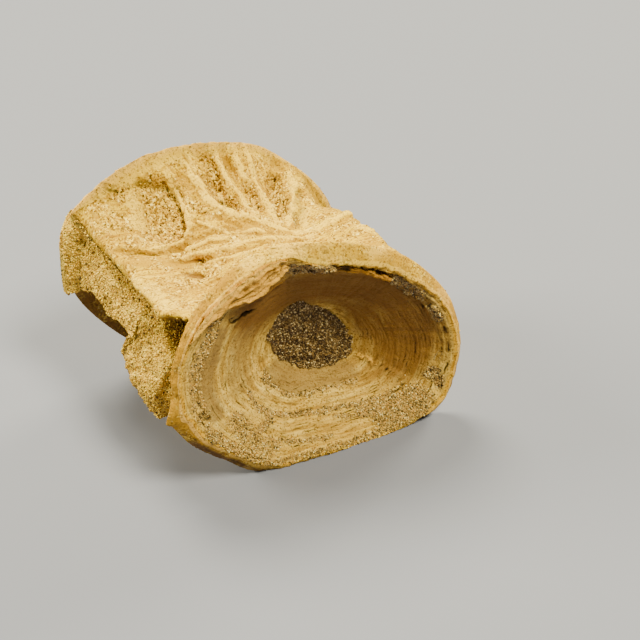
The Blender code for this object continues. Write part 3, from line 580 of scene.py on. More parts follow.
def path_distance(angle, along, path, radius):
    """Distance over a surface to the nearest point of a path of (angle, along)."""
    nearest = np.full(np.broadcast(angle, along).shape, np.inf)
    for (angle_a, along_a), (angle_b, along_b) in zip(path[:-1], path[1:]):
        arc = np.radians(turn_between(angle, angle_a)) * radius
        arc_b = np.radians(turn_between(angle_b, angle_a)) * radius
        off = along - along_a
        off_b = along_b - along_a
        reach = np.clip((arc * arc_b + off * off_b) / (arc_b ** 2 + off_b ** 2 + 1e-9), 0, 1)
        nearest = np.minimum(nearest, np.hypot(arc - reach * arc_b, off - reach * off_b))
    return nearest


def at(angle, place, radius):
    """Points at a radius from the axis, on the ground or above it."""
    turn = np.radians(angle)
    return stacked(RIM_X + radius * np.cos(turn), place - LENGTH / 2,
                   np.maximum(RIM_Z + radius * np.sin(turn), 0.0))


def no_finish(shape):
    """Every finish at zero."""
    return {name: np.zeros(shape) for name in FINISHES}


def flank_base(angle, place):
    """Radius of the bone's flank before its forms: loft of the rims less the waist."""
    return rim_radius(angle, place) * (1 - hollow_share(angle, place / LENGTH))


def flank_surface(angle, place):
    """Points and finish of the flank: its radius, plus each form's height times a soft-edged
    strip along its path, plus fibres that run round the waist, plus roughness where sand is."""
    radius = flank_base(angle, place)
    turn = np.radians(angle)
    round_points = stacked(radius * np.cos(turn), place, radius * np.sin(turn))
    # The forms' edges wander by a few tenths of a millimetre.
    angle_seen = angle + 1.1 * rough(round_points, 2.6, 2, 11)
    place_seen = place + 0.45 * rough(round_points, 2.2, 2, 17)
    ridge, hollow = np.zeros_like(radius), np.zeros_like(radius)
    finish = no_finish(radius.shape)
    for path, half_width, height, level, name, strength in FLANK_FORMS:
        spread = half_width * (RIDGE_SPREAD if height > 0 else 1.0)
        off = path_distance(angle_seen, place_seen, path, radius) / spread
        form = height * (1 - smoothstep(level, 1.0, off))
        if height > 0:
            skirt = 0.12 * (1 - smoothstep(0.6, 1.6, off))
            ridge = np.maximum(ridge, RIDGE_GAIN * (form + skirt))
        else:
            hollow += HOLLOW_GAIN * form
        soft = (0.1, 0.95) if name == "pale" else (0.35, 1.15)
        stronger(finish, name, strength * (1 - smoothstep(*soft, off)))
    relief = hollow + ridge
    # Painted shade: the deeper hollows are laid brown.
    stronger(finish, "umber", 0.55 * smoothstep(0.5, 1.5, -hollow))
    for path, half_width, name, strength in FLANK_STAINS:
        off = path_distance(angle_seen, place_seen, path, radius) / half_width
        stronger(finish, name, strength * (1 - smoothstep(0.3, 1.1, off)))

    # Fibres: wrinkles round the waist, and streaks along the axis towards the far rim.
    from_waist = place - by_angle(WAIST_LINE, angle)
    waist = stacked(np.cos(turn) * 2.6, from_waist / 1.15, np.sin(turn) * 2.6)
    fibre = 1 - 2 * np.abs(rough(waist, 1.0, 3, 23, 0.55))
    near_waist = 1 - smoothstep(*FIBRE_REACH, np.abs(from_waist))
    along = stacked(np.cos(turn) * 19.0, place / 5.5, np.sin(turn) * 19.0)
    streak = 1 - 2 * np.abs(rough(along, 1.0, 3, 29, 0.55))
    beyond = smoothstep(2.0, 8.0, from_waist)
    smooth_face = 1 - smoothstep(0.3, 1.0, path_distance(angle, place, STRUT_FACE, radius) / 2.4)
    busy = (1 - 0.8 * smooth_face) * (1 - 0.6 * finish["sand"])
    relief += busy * (0.28 * fibre * near_waist + 0.22 * streak * beyond
                      + 0.12 * rough(round_points, 1.6, 3, 31))
    groove = np.clip(-0.2 - fibre, 0, 1) * near_waist + 0.7 * np.clip(-0.2 - streak, 0, 1) * beyond
    crest = np.clip(fibre - 0.1, 0, 1) * near_waist + 0.6 * np.clip(streak - 0.1, 0, 1) * beyond
    stronger(finish, "ochre", np.clip(1.5 * groove * busy, 0, 1))
    finish["pale"] = np.clip(finish["pale"] + 0.5 * crest * busy - 0.5 * finish["ochre"], 0, 1)
    finish["sand"] = np.clip(finish["sand"] * (1.15 - 0.9 * finish["pale"]), 0, 1)
    relief += finish["sand"] * 0.16 * rough(round_points, 0.9, 2, 37)
    relief += 0.35 * rough(round_points, 6.5, 2, 41)

    # Under the plate the bone is plain and lies a little lower.
    border_angle, border_place = np.array(PLATE_BORDER[::-1]).T
    inside = angle - np.interp(place, border_place, border_angle)
    covered = (smoothstep(0.5, 3.0, inside) * smoothstep(*COVER_END, angle)
               * smoothstep(12.0, 16.0, place))
    relief = relief * (1 - covered)
    fade = smoothstep(0.3, 2.6, place) * smoothstep(0.2, 3.0, LENGTH - place)
    radius = radius + relief * fade - COVER_DEPTH * covered
    finish["cup"] = np.zeros_like(radius)
    far_lip = 0.5 - 0.5 * np.clip(by_angle(FAR_PALE_AND_HIGHLIGHT, angle), 0, 1)
    far_edge = smoothstep(LENGTH - 2.0, LENGTH - 0.8, place)
    # Paler on the far lip's upper side: partly its own cream edge, partly painted light.
    stronger(finish, "pale", far_edge * by_angle(FAR_PALE_AND_HIGHLIGHT, angle))
    lip = np.where(place < LENGTH / 2, by_angle(LIP_TONES["lip"], angle), far_lip)
    finish["lip"] = lip * (1 - smoothstep(1.2, 3.4, np.minimum(place, LENGTH - place)))
    finish["growth"] = stacked(np.cos(turn) * 4.5, from_waist * 1.5, np.sin(turn) * 4.5)
    return at(angle, place, radius), finish


def crest_radius(end, angle):
    """Radius of the crest of an end's lip, with nicks that grow where the edge is broken."""
    turn = np.radians(angle)
    ring = stacked(np.cos(turn), np.sin(turn), 0.0)
    nicks = 0.20 * rough(ring, 0.16, 3, 51) + 0.22 * rough(ring, 0.05, 3, 53)
    if end is NEAR_END:
        nicks = nicks * by_angle(BROKEN, angle)
    return rim_outline(end, angle) - by_angle(end["across"], angle) + nicks


def set_back(end, angle):
    """How far the crest of an end's lip lies back from the lip's plane."""
    turn = np.radians(angle)
    ring = stacked(np.cos(turn), np.sin(turn), 4.0)
    wave = 0.35 + 0.35 * rough(ring, 0.35, 3, 57) + 0.12 * rough(ring, 0.05, 2, 59)
    return closed_curve(end["back"], angle) + np.clip(wave, 0.05, 1.0)


def ring_share(end, angle, share):
    """Share of the radius at which a cup's rings count: in the near cup a tent round the
    crease draws them out to a corner, so two walls meet along the crease."""
    if end is FAR_END:
        return share
    wander = 1.2 * np.sin(9.0 * share) + 0.6 * np.sin(31.0 * share)
    tent = np.clip(1 - np.abs(turn_between(angle, CREASE[0] + wander)) / CREASE[1], 0, 1)
    return share * (1 - CREASE[2] * tent * smoothstep(1.02, 0.62, share)
                    * smoothstep(0.12, 0.36, share))


def carve_near_lip(angle, share, spot, depth, finish):
    """Depth of the near cup with the cavity under its lip's edge and the broken laminae of its
    upper left, each of thin layers and cut back to its own edge. Adds the finish of both, with
    painted shade deep in the cavity and at the laminae's feet."""
    lumps = 0.16 * rough(spot, 1.6, 3, 131)
    ragged = share + 0.012 * rough(spot, 1.5, 3, 133)
    hollow = by_angle(CAVITY, angle) * (1 + 0.35 * rough(spot, 3.0, 3, 135))
    hollow = (hollow * smoothstep(0.992, 0.975, ragged)
              * smoothstep(CAVITY_END - 0.05, CAVITY_END, ragged))
    carved = np.maximum(hollow - depth, 0.0)
    depth = depth + carved
    bared = smoothstep(0.1, 0.8, carved)
    crusted = np.clip(0.5 + 1.5 * rough(spot, 3.4, 2, 141), 0, 1)
    stronger(finish, "crust", 0.85 * bared * crusted)
    stronger(finish, "umber", bared * (1 - crusted))
    # Painted shade deep in the cavity.
    stronger(finish, "shade", 0.1 * smoothstep(0.5, 1.6, carved))
    back = set_back(NEAR_END, angle)
    edge_tone = np.clip(0.45 + 1.2 * rough(spot, 2.6, 2, 137), 0, 1)
    wander = 3.0 * rough(spot, 3.0, 3, 143)
    for edge, part, level in LAMINAE:
        edge_share = by_angle(edge, angle)
        gone = CUP_SCALE * (ragged - edge_share)
        held = smoothstep(-0.12, 0.12, gone)
        raised = np.maximum(depth - part * back - level - lumps, 0.0)
        depth = depth - held * raised
        held_up = held * smoothstep(0.02, 0.3, raised)
        layered = np.sin(2 * np.pi * gone / LAYER_GAP + wander)
        depth = depth - LAYER_HEIGHT * held_up * layered
        finish["umber"] = finish["umber"] * (1 - held_up)
        stronger(finish, "umber", 0.7 * held_up * smoothstep(0.55, 0.95, -layered))
        stronger(finish, "ochre", 0.6 * held_up * edge_tone)
        # Pale on the laminae: partly their own cream edges, partly painted light, as the lamps
        # barely reach them.
        stronger(finish, "pale", held_up * (1.5 - edge_tone))
        # Painted shadow at the foot of each lamina's edge.
        cliff_foot_shadow = np.exp(-((gone + 0.28) / 0.2) ** 2) * smoothstep(1.0, 0.97, edge_share)
        finish["shade"] = finish["shade"] * (1 - held)
        stronger(finish, "shade", 0.55 * cliff_foot_shadow)
    return depth


def growth_rings(turn, across, share):
    """Height and dark line of a cup's growth rings: a saw whose teeth drop quickly and rise slowly
    towards the middle, with noise in their place and height, strongest in the lower half and
    towards the lip. The dark line lies just past each drop: partly the ring's own line, partly
    painted shadow."""
    slow = stacked(np.cos(turn) * 1.6, np.sin(turn) * 1.6, across / 3.0)
    quick = stacked(np.cos(turn) * 9.0, np.sin(turn) * 9.0, across / 0.8)
    phase = across / RING_GAP + 0.9 * rough(slow, 1.0, 2, 71) + 0.12 * rough(quick, 1.0, 2, 72)
    tooth = phase - np.floor(phase)
    gain = np.clip(0.55 + 0.9 * rough(slow * (2.2, 2.2, 2.0), 1.0, 2, 74), 0.05, 1.0)
    low = smoothstep(-0.3, 0.6, -np.sin(turn))
    gain = (gain * smoothstep(0.26, 0.46, share) * (0.45 + 0.55 * low)
            * smoothstep(1.0, 0.96, share))
    line = smoothstep(0.02, 0.10, tooth) * smoothstep(0.34, 0.18, tooth)
    line = 0.85 * gain * line * np.clip(0.6 + 1.2 * rough(quick, 1.6, 2, 76), 0, 1)
    return 0.26 * gain * (smoothstep(0.0, 0.22, tooth) - tooth), line


def cup_surface(end, angle, share, steps, patches, lift=0.0):
    """Points and finish of a cup. Its depth below the lip is a flared cone; each step of its
    wall is a cliff whose shelves fade away on both sides; each patch adds its height; growth
    rings and crusty roughness lie over that. lift moves points out to the mouth."""
    angle, share = np.broadcast_arrays(angle, share)
    crest = crest_radius(end, angle)
    ringed = ring_share(end, angle, share)
    seen = ringed * crest / (closed_curve(end["rim"], angle) - end["mouth"])
    radius = crest * share
    turn = np.radians(angle)
    spot = stacked(radius * np.cos(turn), radius * np.sin(turn), end["depth"] * (1 - share))
    depth = end["depth"] * (1 - ringed ** CUP_FLARE)
    depth = depth + set_back(end, angle) * smoothstep(0.55, 1.0, share)
    finish = no_finish(angle.shape)
    broken = by_angle(BROKEN, angle) if end is NEAR_END else 1.0
    wander = 0.016 * rough(spot, 4.0, 2, 61) + 0.010 * broken * rough(spot, 1.1, 3, 63)
    inner = smoothstep(1.0, 0.97, share)
    patchy = np.clip(0.45 + 1.6 * rough(spot, 1.9, 3, 77), 0.05, 1.0)
    for edges, heights, shelf in steps:
        inward = (by_angle(edges, angle) - seen + wander) * CUP_SCALE
        height = by_angle(heights, angle)
        cliff = smoothstep(-0.13, 0.13, inward)
        fading = np.exp(-np.abs(inward) / shelf)
        depth = depth + inner * height * fading * (cliff - 0.5)
        # Painted shadow: a dark line at the foot of each cliff.
        cliff_foot_shadow = np.exp(-((inward - 0.18) / 0.22) ** 2) * smoothstep(0.05, 0.5, height)
        stronger(finish, "shade", 0.8 * cliff_foot_shadow * patchy)
    if end is NEAR_END:
        depth = carve_near_lip(angle, share, spot, depth, finish)
        # The wall to the right of the crease is darker brown: partly its own browner tone, partly
        # painted shade, as it faces away from the lamps.
        past = turn_between(angle, CREASE[0] - 1.5 + 2.0 * rough(spot, 2.5, 2, 139))
        wall = smoothstep(-1.0, 1.0, past) * smoothstep(75.0, 35.0, past)
        wall = wall * smoothstep(0.3, 0.4, share) * smoothstep(0.92, 0.8, share)
        stronger(finish, "umber", 0.65 * wall)
    metric = np.maximum(CUP_SCALE * seen, 1.0)
    angle_seen = angle + np.degrees((0.5 * rough(spot, 2.4, 2, 65)
                                     + 0.3 * rough(spot, 0.9, 2, 66)) / metric)
    share_seen = (CUP_SCALE * seen + 0.45 * rough(spot, 2.1, 2, 67)
                  + 0.3 * rough(spot, 0.8, 2, 68))
    for path, half_width, height, level, name, strength in patches:
        scaled = tuple((turned, CUP_SCALE * at_share) for turned, at_share in path)
        off = path_distance(angle_seen, share_seen, scaled, metric) / half_width
        depth = depth - height * (1 - smoothstep(level, 1.0, off))
        stronger(finish, name, strength * (1 - smoothstep(0.35, 1.15, off)))

    across = CUP_SCALE * (1 - seen)
    ring_height, ring_shade_line = growth_rings(turn, across, share)
    stronger(finish, "shade", ring_shade_line)
    crusty = np.maximum(finish["crust"], 0.5 * finish["sand"])
    depth = (depth + ring_height + 0.50 * finish["crust"] * rough(spot, 1.7, 4, 73)
             + 0.12 * crusty * rough(spot, 0.6, 2, 75) - lift)
    points = at(angle, depth if end is NEAR_END else LENGTH - depth, radius)
    points[..., 0] += end["bottom"][0] * (1 - share)
    points[..., 2] += end["bottom"][1] * (1 - share)
    finish["lip"] = smoothstep(0.965, 0.99, share)
    finish["cup"] = 1 - finish["lip"]
    finish["growth"] = stacked(np.cos(turn) * 2.4, np.sin(turn) * 2.4, across / 0.8)
    return points, finish


def lip_surface(end, angle, turn):
    """Points and finish of a lip, a softened chamfer: turn 0 is its crest and 90 degrees its
    outer side, and the powers of sine and cosine lie between a circle's and a straight line's."""
    angle, turn = np.broadcast_arrays(angle, turn)
    crest = crest_radius(end, angle)
    outer = rim_outline(end, angle)
    back = set_back(end, angle)
    rise = np.sin(np.radians(turn)) ** LIP_POWER
    fall = 1 - np.clip(np.cos(np.radians(turn)), 0, 1) ** LIP_POWER
    radius = crest + (outer - crest) * rise
    inwards = back + (by_angle(end["along"], angle) + back * 0.5) * fall
    turned = np.radians(angle)
    spot = stacked(radius * np.cos(turned), radius * np.sin(turned), inwards)
    radius = radius + np.sin(np.radians(2 * turn)) * (0.22 * rough(spot, 2.6, 3, 121)
                                                      + 0.07 * rough(spot, 0.8, 2, 123))
    finish = no_finish(radius.shape)
    if end is NEAR_END:
        patchy = 0.8 * rough(spot, 4.0, 3, 125)
        for name, tones in LIP_TONES.items():
            finish[name] = np.clip(by_angle(tones, angle) + 0.35 * patchy, 0, 1)
        # Painted shade: the lip's underside, which faces the floor, is laid brown and darkened.
        under = smoothstep(-0.1, -0.5, np.sin(turned)) * smoothstep(0.15, 0.6, rise)
        # The crest is paler: partly worn, partly a painted highlight.
        worn_and_highlit = smoothstep(0.4, 0.1, rise)
        finish["ochre"] = finish["ochre"] * (1 - 0.9 * under)
        finish["umber"] = np.maximum(finish["umber"], under) * (1 - 0.9 * worn_and_highlit)
        finish["pale"] = np.maximum(finish["pale"], worn_and_highlit * (1 - 0.5 * under))
        streaks = rough(stacked(np.cos(turned) * 9, np.sin(turned) * 9, rise * 4.5), 1.0, 3, 127)
        finish["shade"] = 0.8 * np.clip(streaks - 0.2, 0, 1) * smoothstep(0.05, 0.3, rise)
        stronger(finish, "shade", 0.35 * under)
    else:
        # Far lip: brown painted shade on its underside, cream on top that is partly painted light.
        finish["umber"] = by_angle(FAR_UNDER_SHADE, angle)
        finish["pale"] = by_angle(FAR_PALE_AND_HIGHLIGHT, angle)
        finish["lip"] = np.ones_like(radius)
    finish["cup"] = np.zeros_like(radius)
    finish["growth"] = stacked(np.cos(turned) * 4.5, inwards - 20, np.sin(turned) * 4.5)
    return at(angle, inwards if end is NEAR_END else LENGTH - inwards, radius), finish


def grid_faces(index):
    """Quads between neighbouring rows and columns of a grid of vertex numbers."""
    corners = (index[:-1, :-1], index[1:, :-1], index[1:, 1:], index[:-1, 1:])
    return np.stack(corners, axis=-1).reshape(-1, 4)


def closed_rings(rings, start, end):
    """Vertices, quads and triangles of a closed body: rings of points and a point at each end."""
    count = rings.shape[1]
    vertices = np.concatenate([start[None], rings.reshape(-1, 3), end[None]])
    index = 1 + np.arange(len(rings) * count).reshape(len(rings), count)
    index = np.concatenate([index, index[:, :1]], axis=1)
    top = len(vertices) - 1
    first = np.stack([0 * index[0, :-1], index[0, :-1], index[0, 1:]], axis=-1)
    last = np.stack([0 * index[0, :-1] + top, index[-1, 1:], index[-1, :-1]], axis=-1)
    return vertices, grid_faces(index), np.concatenate([first, last])


def add_piece(name, points, quads, triangles, material, fields, solid=None):
    """Make a named, shaded mesh from points in millimetres, kept inside the solid's box."""
    low, high = (np.array(corner) / MM for corner in CAD_BOX)
    points = np.clip(np.asarray(points), low, high)
    mesh = bpy.data.meshes.new(name)
    mesh.vertices.add(len(points))
    mesh.vertices.foreach_set("co", (points * MM).astype(np.float32).ravel())
    loops = np.concatenate([np.ravel(quads), np.ravel(triangles)]).astype(np.int32)
    starts = np.concatenate([4 * np.arange(len(quads)),
                             4 * len(quads) + 3 * np.arange(len(triangles))]).astype(np.int32)
    mesh.loops.add(len(loops))
    mesh.loops.foreach_set("vertex_index", loops)
    mesh.polygons.add(len(starts))
    mesh.polygons.foreach_set("loop_start", starts)
    mesh.update(calc_edges=True)
    mesh.validate()
    mesh.shade_smooth()
    for field, values in fields.items():
        values = np.asarray(values, np.float32)
        kind, key = ("FLOAT_VECTOR", "vector") if values.ndim > 1 else ("FLOAT", "value")
        layer = mesh.attributes.new(field, kind, "POINT")
        layer.data.foreach_set(key, values.ravel())
    mesh.materials.append(material)
    piece = bpy.data.objects.new(name, mesh)
    bpy.context.scene.collection.objects.link(piece)
    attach(piece, "root")
    if solid:
        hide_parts(solid)


def linear(colour):
    """Linear colour of an sRGB hex value: each part over 0.04045 is ((c + 0.055) / 1.055)^2.4."""
    parts = np.array([int(colour[place:place + 2], 16) / 255 for place in (1, 3, 5)])
    parts = np.where(parts > 0.04045, ((parts + 0.055) / 1.055) ** 2.4, parts / 12.92)
    return (*parts.tolist(), 1.0)


def new_material(name):
    """An empty node material with its output, and its tree."""
    material = bpy.data.materials.new(name)
    material.use_nodes = True
    material.node_tree.nodes.clear()
    return material, material.node_tree


def node(tree, kind, settings=None, **inputs):
    """Add a shader node of a kind, give it its settings, where stops are a ramp's places and
    tones, and fill or link its inputs by name or, after an underscore, by number. A node stands
    for its first output."""
    made = tree.nodes.new("ShaderNode" + kind)
    for key, value in (settings or {}).items():
        if key == "stops":
            elements = made.color_ramp.elements
            while len(elements) < len(value):
                elements.new(0.5)
            for element, (place, tone) in zip(elements, value):
                element.position = place
                element.color = linear(tone) if isinstance(tone, str) else (tone, tone, tone, 1)
        elif key == "ease":
            made.color_ramp.interpolation = value
        else:
            setattr(made, key, value)
    for key, value in inputs.items():
        socket = made.inputs[int(key[1:]) if key[0] == "_" else key.replace("_", " ")]
        if isinstance(value, bpy.types.Node):
            value = value.outputs[0]
        if isinstance(value, bpy.types.NodeSocket):
            tree.links.new(value, socket)
        else:
            socket.default_value = value
    return made


def lay(tree, colour, layers):
    """Tones laid one over another: each has a mask, the stops that turn the mask to an amount,
    and its tone."""
    for mask, stops, tone in layers:
        amount = node(tree, "ValToRGB", {"stops": stops}, Fac=mask)
        tone = linear(tone) if isinstance(tone, str) else tone
        colour = node(tree, "Mix", {"data_type": "RGBA"}, _0=amount, _6=colour,
                      _7=tone).outputs[2]
    return colour


def finish_surface(tree, colour, roughness, shine, height, strength, depth):
    """A dielectric surface with bump from a height, shown by the material's output."""
    bump = node(tree, "Bump", Strength=strength, Distance=depth, Height=height)
    surface = node(tree, "BsdfPrincipled", Base_Color=colour,
                   Roughness=roughness, Normal=bump)
    surface.inputs["IOR"].default_value = 1.5
    surface.inputs["Specular IOR Level"].default_value = shine
    node(tree, "OutputMaterial", Surface=surface)


def bone_material():
    """Fossil bone, mineral-filled and weathered: golden cream with iron stain in its grooves, sand
    in its hollows and brown rings in its cups, with painted shade laid into its hollows, cracks,
    cup walls and lip undersides. It gives the eye a chalky, gritty body with waxy, slightly
    shinier lips."""
    material, tree = new_material("fossil_bone")
    place = node(tree, "TexCoord").outputs["Object"]
    seen = {name: node(tree, "Attribute", {"attribute_name": name}).outputs["Fac"]
            for name in (*FINISHES, "cup", "lip")}
    growth = node(tree, "Attribute", {"attribute_name": "growth"}).outputs["Vector"]
    # Clouds of stain about 7 mm wide, mottling of 1.5 mm, pores of 0.4 mm and dust of 2.6 mm;
    # along the growth lines, fibres and rings of about 1 mm.
    clouds, mottle, pores, fibres, rings = (
        node(tree, "TexNoise", Vector=vector, Scale=scale, Detail=detail, Roughness=0.62)
        for vector, scale, detail in ((place, 140.0, 4.0), (place, 650.0, 5.0),
                                      (place, 2500.0, 3.0), (growth, 1.6, 5.0),
                                      (growth, 0.9, 5.0)))
    dust = node(tree, "TexNoise", Vector=place, Scale=380.0, Detail=4.0, Roughness=0.7)
    # Sand and crust: close-packed grains, each with its own tone.
    grains, lumps = (node(tree, "TexVoronoi", Vector=place, Scale=scale)
                     for scale in (SAND_CELLS, CRUST_CELLS))
    sand = node(tree, "ValToRGB", {"ease": "CONSTANT", "stops": (
        (0.0, "#5C4422"), (0.14, "#92703A"), (0.32, "#B8924C"), (0.52, "#CCA65C"),
        (0.72, "#E0BE76"), (0.88, "#F0D69C"), (0.95, "#9A6A34"))}, Fac=grains.outputs["Color"])
    flank_sand = node(tree, "ValToRGB", {"ease": "CONSTANT", "stops": (
        (0.0, "#3E2A0E"), (0.14, "#6A4A18"), (0.27, "#96701E"), (0.40, "#BC9032"),
        (0.56, "#DCB446"), (0.74, "#F2D068"), (0.88, "#FCE698"), (0.95, "#6E4C1C"))},
        Fac=grains.outputs["Color"])
    crust = node(tree, "ValToRGB", {"ease": "CONSTANT", "stops": (
        (0.0, "#5A4630"), (0.18, "#8A7048"), (0.42, "#B09560"), (0.66, "#CCB07A"),
        (0.86, "#E8CE9C"))}, Fac=lumps.outputs["Color"])
    # Each finish spreads with a ragged edge, 0.35 above its own strength.
    ragged = {name: node(tree, "Math", {"operation": "MULTIPLY_ADD"},
                         _0=mottle, _1=0.7, _2=seen[name]) for name in FINISHES}

    flank = node(tree, "ValToRGB", {"stops": (
        (0.30, "#B0860E"), (0.45, "#C69C14"), (0.58, "#DAB422"), (0.72, "#BE9412"))},
        Fac=clouds)
    flank = lay(tree, flank, (
        (fibres, ((0.40, 0.85), (0.52, 0.0)), "#A07212"),
        (mottle, ((0.54, 0.0), (0.70, 0.6)), "#E4C03A"),
        (dust, ((0.44, 0.0), (0.58, 0.8)), flank_sand.outputs[0]),
        (pores, ((0.36, 0.8), (0.48, 0.0)), "#7C5414")))
    cup = node(tree, "ValToRGB", {"stops": (
        (0.34, "#906C2C"), (0.44, "#C69E4A"), (0.54, "#E2BC62"), (0.66, "#F2D07C"))},
        Fac=rings)
    cup = lay(tree, cup, (
        (clouds, ((0.42, 0.0), (0.66, 0.45)), "#C0903E"),
        (mottle, ((0.36, 0.45), (0.50, 0.0)), "#8A6A38"),
        (pores, ((0.36, 0.5), (0.46, 0.0)), "#7C5C2C")))
    lip = node(tree, "ValToRGB", {"stops": (
        (0.35, "#B88420"), (0.50, "#D49E2C"), (0.66, "#EAB43E"))}, Fac=clouds)
    lip = lay(tree, lip, (
        (mottle, ((0.50, 0.0), (0.66, 0.6)), "#E6B240"),
        (dust, ((0.46, 0.0), (0.60, 0.4)), flank_sand.outputs[0]),
        (pores, ((0.36, 0.8), (0.48, 0.0)), "#8A5E1C")))
    body = lay(tree, flank, (
        (seen["cup"], WHOLE, cup),
        (seen["lip"], WHOLE, lip),
        # Brown: partly the bone's own, partly painted shade.
        (seen["umber"], ((0.0, 0.0), (1.0, 0.92)), "#785026"),
        (ragged["grey"], ((0.45, 0.0), (1.2, 0.75)), "#8A6C44"),
        (ragged["ochre"], ((0.50, 0.0), (1.0, 0.95)), lay(tree, linear("#B08618"), (
            (seen["lip"], WHOLE, "#B0801C"),
            (seen["cup"], WHOLE, "#AC7628")))),
        (ragged["pale"], ((0.70, 0.0), (1.45, 0.85)), lay(tree, linear("#EAC244"), (
            (seen["lip"], WHOLE, "#E6B45E"),
            (seen["cup"], WHOLE, "#EAB04C"))))))
    body = lay(tree, body, (
        (dust, ((0.50, 0.0), (0.60, 0.45)), lay(tree, flank_sand.outputs[0], (
            (seen["cup"], WHOLE, body),))),
        (pores, ((0.37, 0.7), (0.45, 0.0)), "#6E4C16"),
        (ragged["sand"], ((0.60, 0.0), (0.88, 1.0)), lay(tree, flank_sand.outputs[0], (
            (seen["cup"], WHOLE, sand.outputs[0]),))),
        (ragged["crust"], ((0.60, 0.0), (0.88, 1.0)), crust.outputs[0]),
        # Near-black painted shade.
        (ragged["shade"], ((0.52, 0.0), (1.15, 0.96)), "#30200E")))

    heights = []
    for mask, texture in ((ragged["sand"], grains), (ragged["crust"], lumps)):
        amount = node(tree, "MapRange", Value=mask, From_Min=0.45, From_Max=0.9,
                      To_Min=0.22, To_Max=1.0)
        top = node(tree, "Math", {"operation": "SUBTRACT"}, _0=0.75, _1=texture)
        heights.append(node(tree, "Math", {"operation": "MULTIPLY"}, _0=amount, _1=top))
    ringed = node(tree, "Math", {"operation": "MULTIPLY"}, _0=rings, _1=seen["cup"])
    height = node(tree, "Math", {"operation": "MAXIMUM"}, _0=heights[0], _1=heights[1])
    for texture, gain in ((pores, 0.5), (mottle, 0.5), (ringed, 1.3), (fibres, 0.5)):
        height = node(tree, "Math", {"operation": "MULTIPLY_ADD"}, _0=texture, _1=gain, _2=height)
    roughness = node(tree, "MapRange", Value=seen["lip"], To_Min=0.88, To_Max=0.68)
    finish_surface(tree, body, roughness, 0.15, height, 0.8, 0.00035)
    return material


def sandstone_material(name, stops, tints_shade_and_light, scale):
    """Cemented sand: close-packed grains of about 0.4 mm, each with its own tone, matt, with dusty
    tints over clouds of 3 mm, painted shade where its shade attribute is set and painted light
    where its light attribute is. It gives the eye a rough, speckled crumb."""
    material, tree = new_material(name)
    place = node(tree, "TexCoord").outputs["Object"]
    grains = node(tree, "TexVoronoi", Vector=place, Scale=scale)
    colour = node(tree, "ValToRGB", {"ease": "CONSTANT", "stops": stops},
                  Fac=grains.outputs["Color"])
    clouds, fine = (node(tree, "TexNoise", Vector=place, Scale=size,
                         Detail=4.0, Roughness=0.6) for size in (330.0, 3600.0))
    shade = node(tree, "Attribute", {"attribute_name": "shade"}).outputs["Fac"]
    light = node(tree, "Attribute", {"attribute_name": "light"}).outputs["Fac"]
    colour = lay(tree, colour.outputs[0], (
        (clouds, ((0.42, 0.6), (0.60, 0.0)), tints_shade_and_light[0]),
        (clouds, ((0.50, 0.0), (0.70, 0.5)), tints_shade_and_light[1]),
        (light, ((0.0, 0.0), (1.0, 0.9)), tints_shade_and_light[3]),
        (shade, WHOLE, tints_shade_and_light[2])))
    top = node(tree, "Math", {"operation": "SUBTRACT"}, _0=0.75, _1=grains)
    height = node(tree, "Math", {"operation": "MULTIPLY_ADD"}, _0=top, _1=2.4,
                  _2=fine)
    finish_surface(tree, colour, 0.93, 0.2, height, 0.8, 0.00028)
    return material


def grain_material(name, stops):
    """Loose quartz sand: each grain has one tone, with a weak glint."""
    material, tree = new_material(name)
    tone = node(tree, "Attribute", {"attribute_name": "tone"}).outputs["Fac"]
    colour = node(tree, "ValToRGB", {"stops": stops}, Fac=tone)
    fine = node(tree, "TexNoise", Scale=9000.0,
                Vector=node(tree, "TexCoord").outputs["Object"])
    finish_surface(tree, colour, 0.62, 0.4, fine, 0.3, 0.00003)
    return material


def with_poles(parts, start, end):
    """One closed body: rows of rings between two poles, with the fields of each."""
    rings = np.concatenate([points for points, fields in parts])
    vertices, quads, triangles = closed_rings(rings, start[0][0, 0], end[0][0, 0])
    flat = {}
    for name in (*FINISHES, "cup", "lip", "growth"):
        values = np.concatenate([fields[name] for points, fields in parts])
        tail = values.shape[2:]
        flat[name] = np.concatenate([start[1][name].reshape(1, *tail),
                                     values.reshape(-1, *tail),
                                     end[1][name].reshape(1, *tail)])
    return vertices, quads, triangles, flat


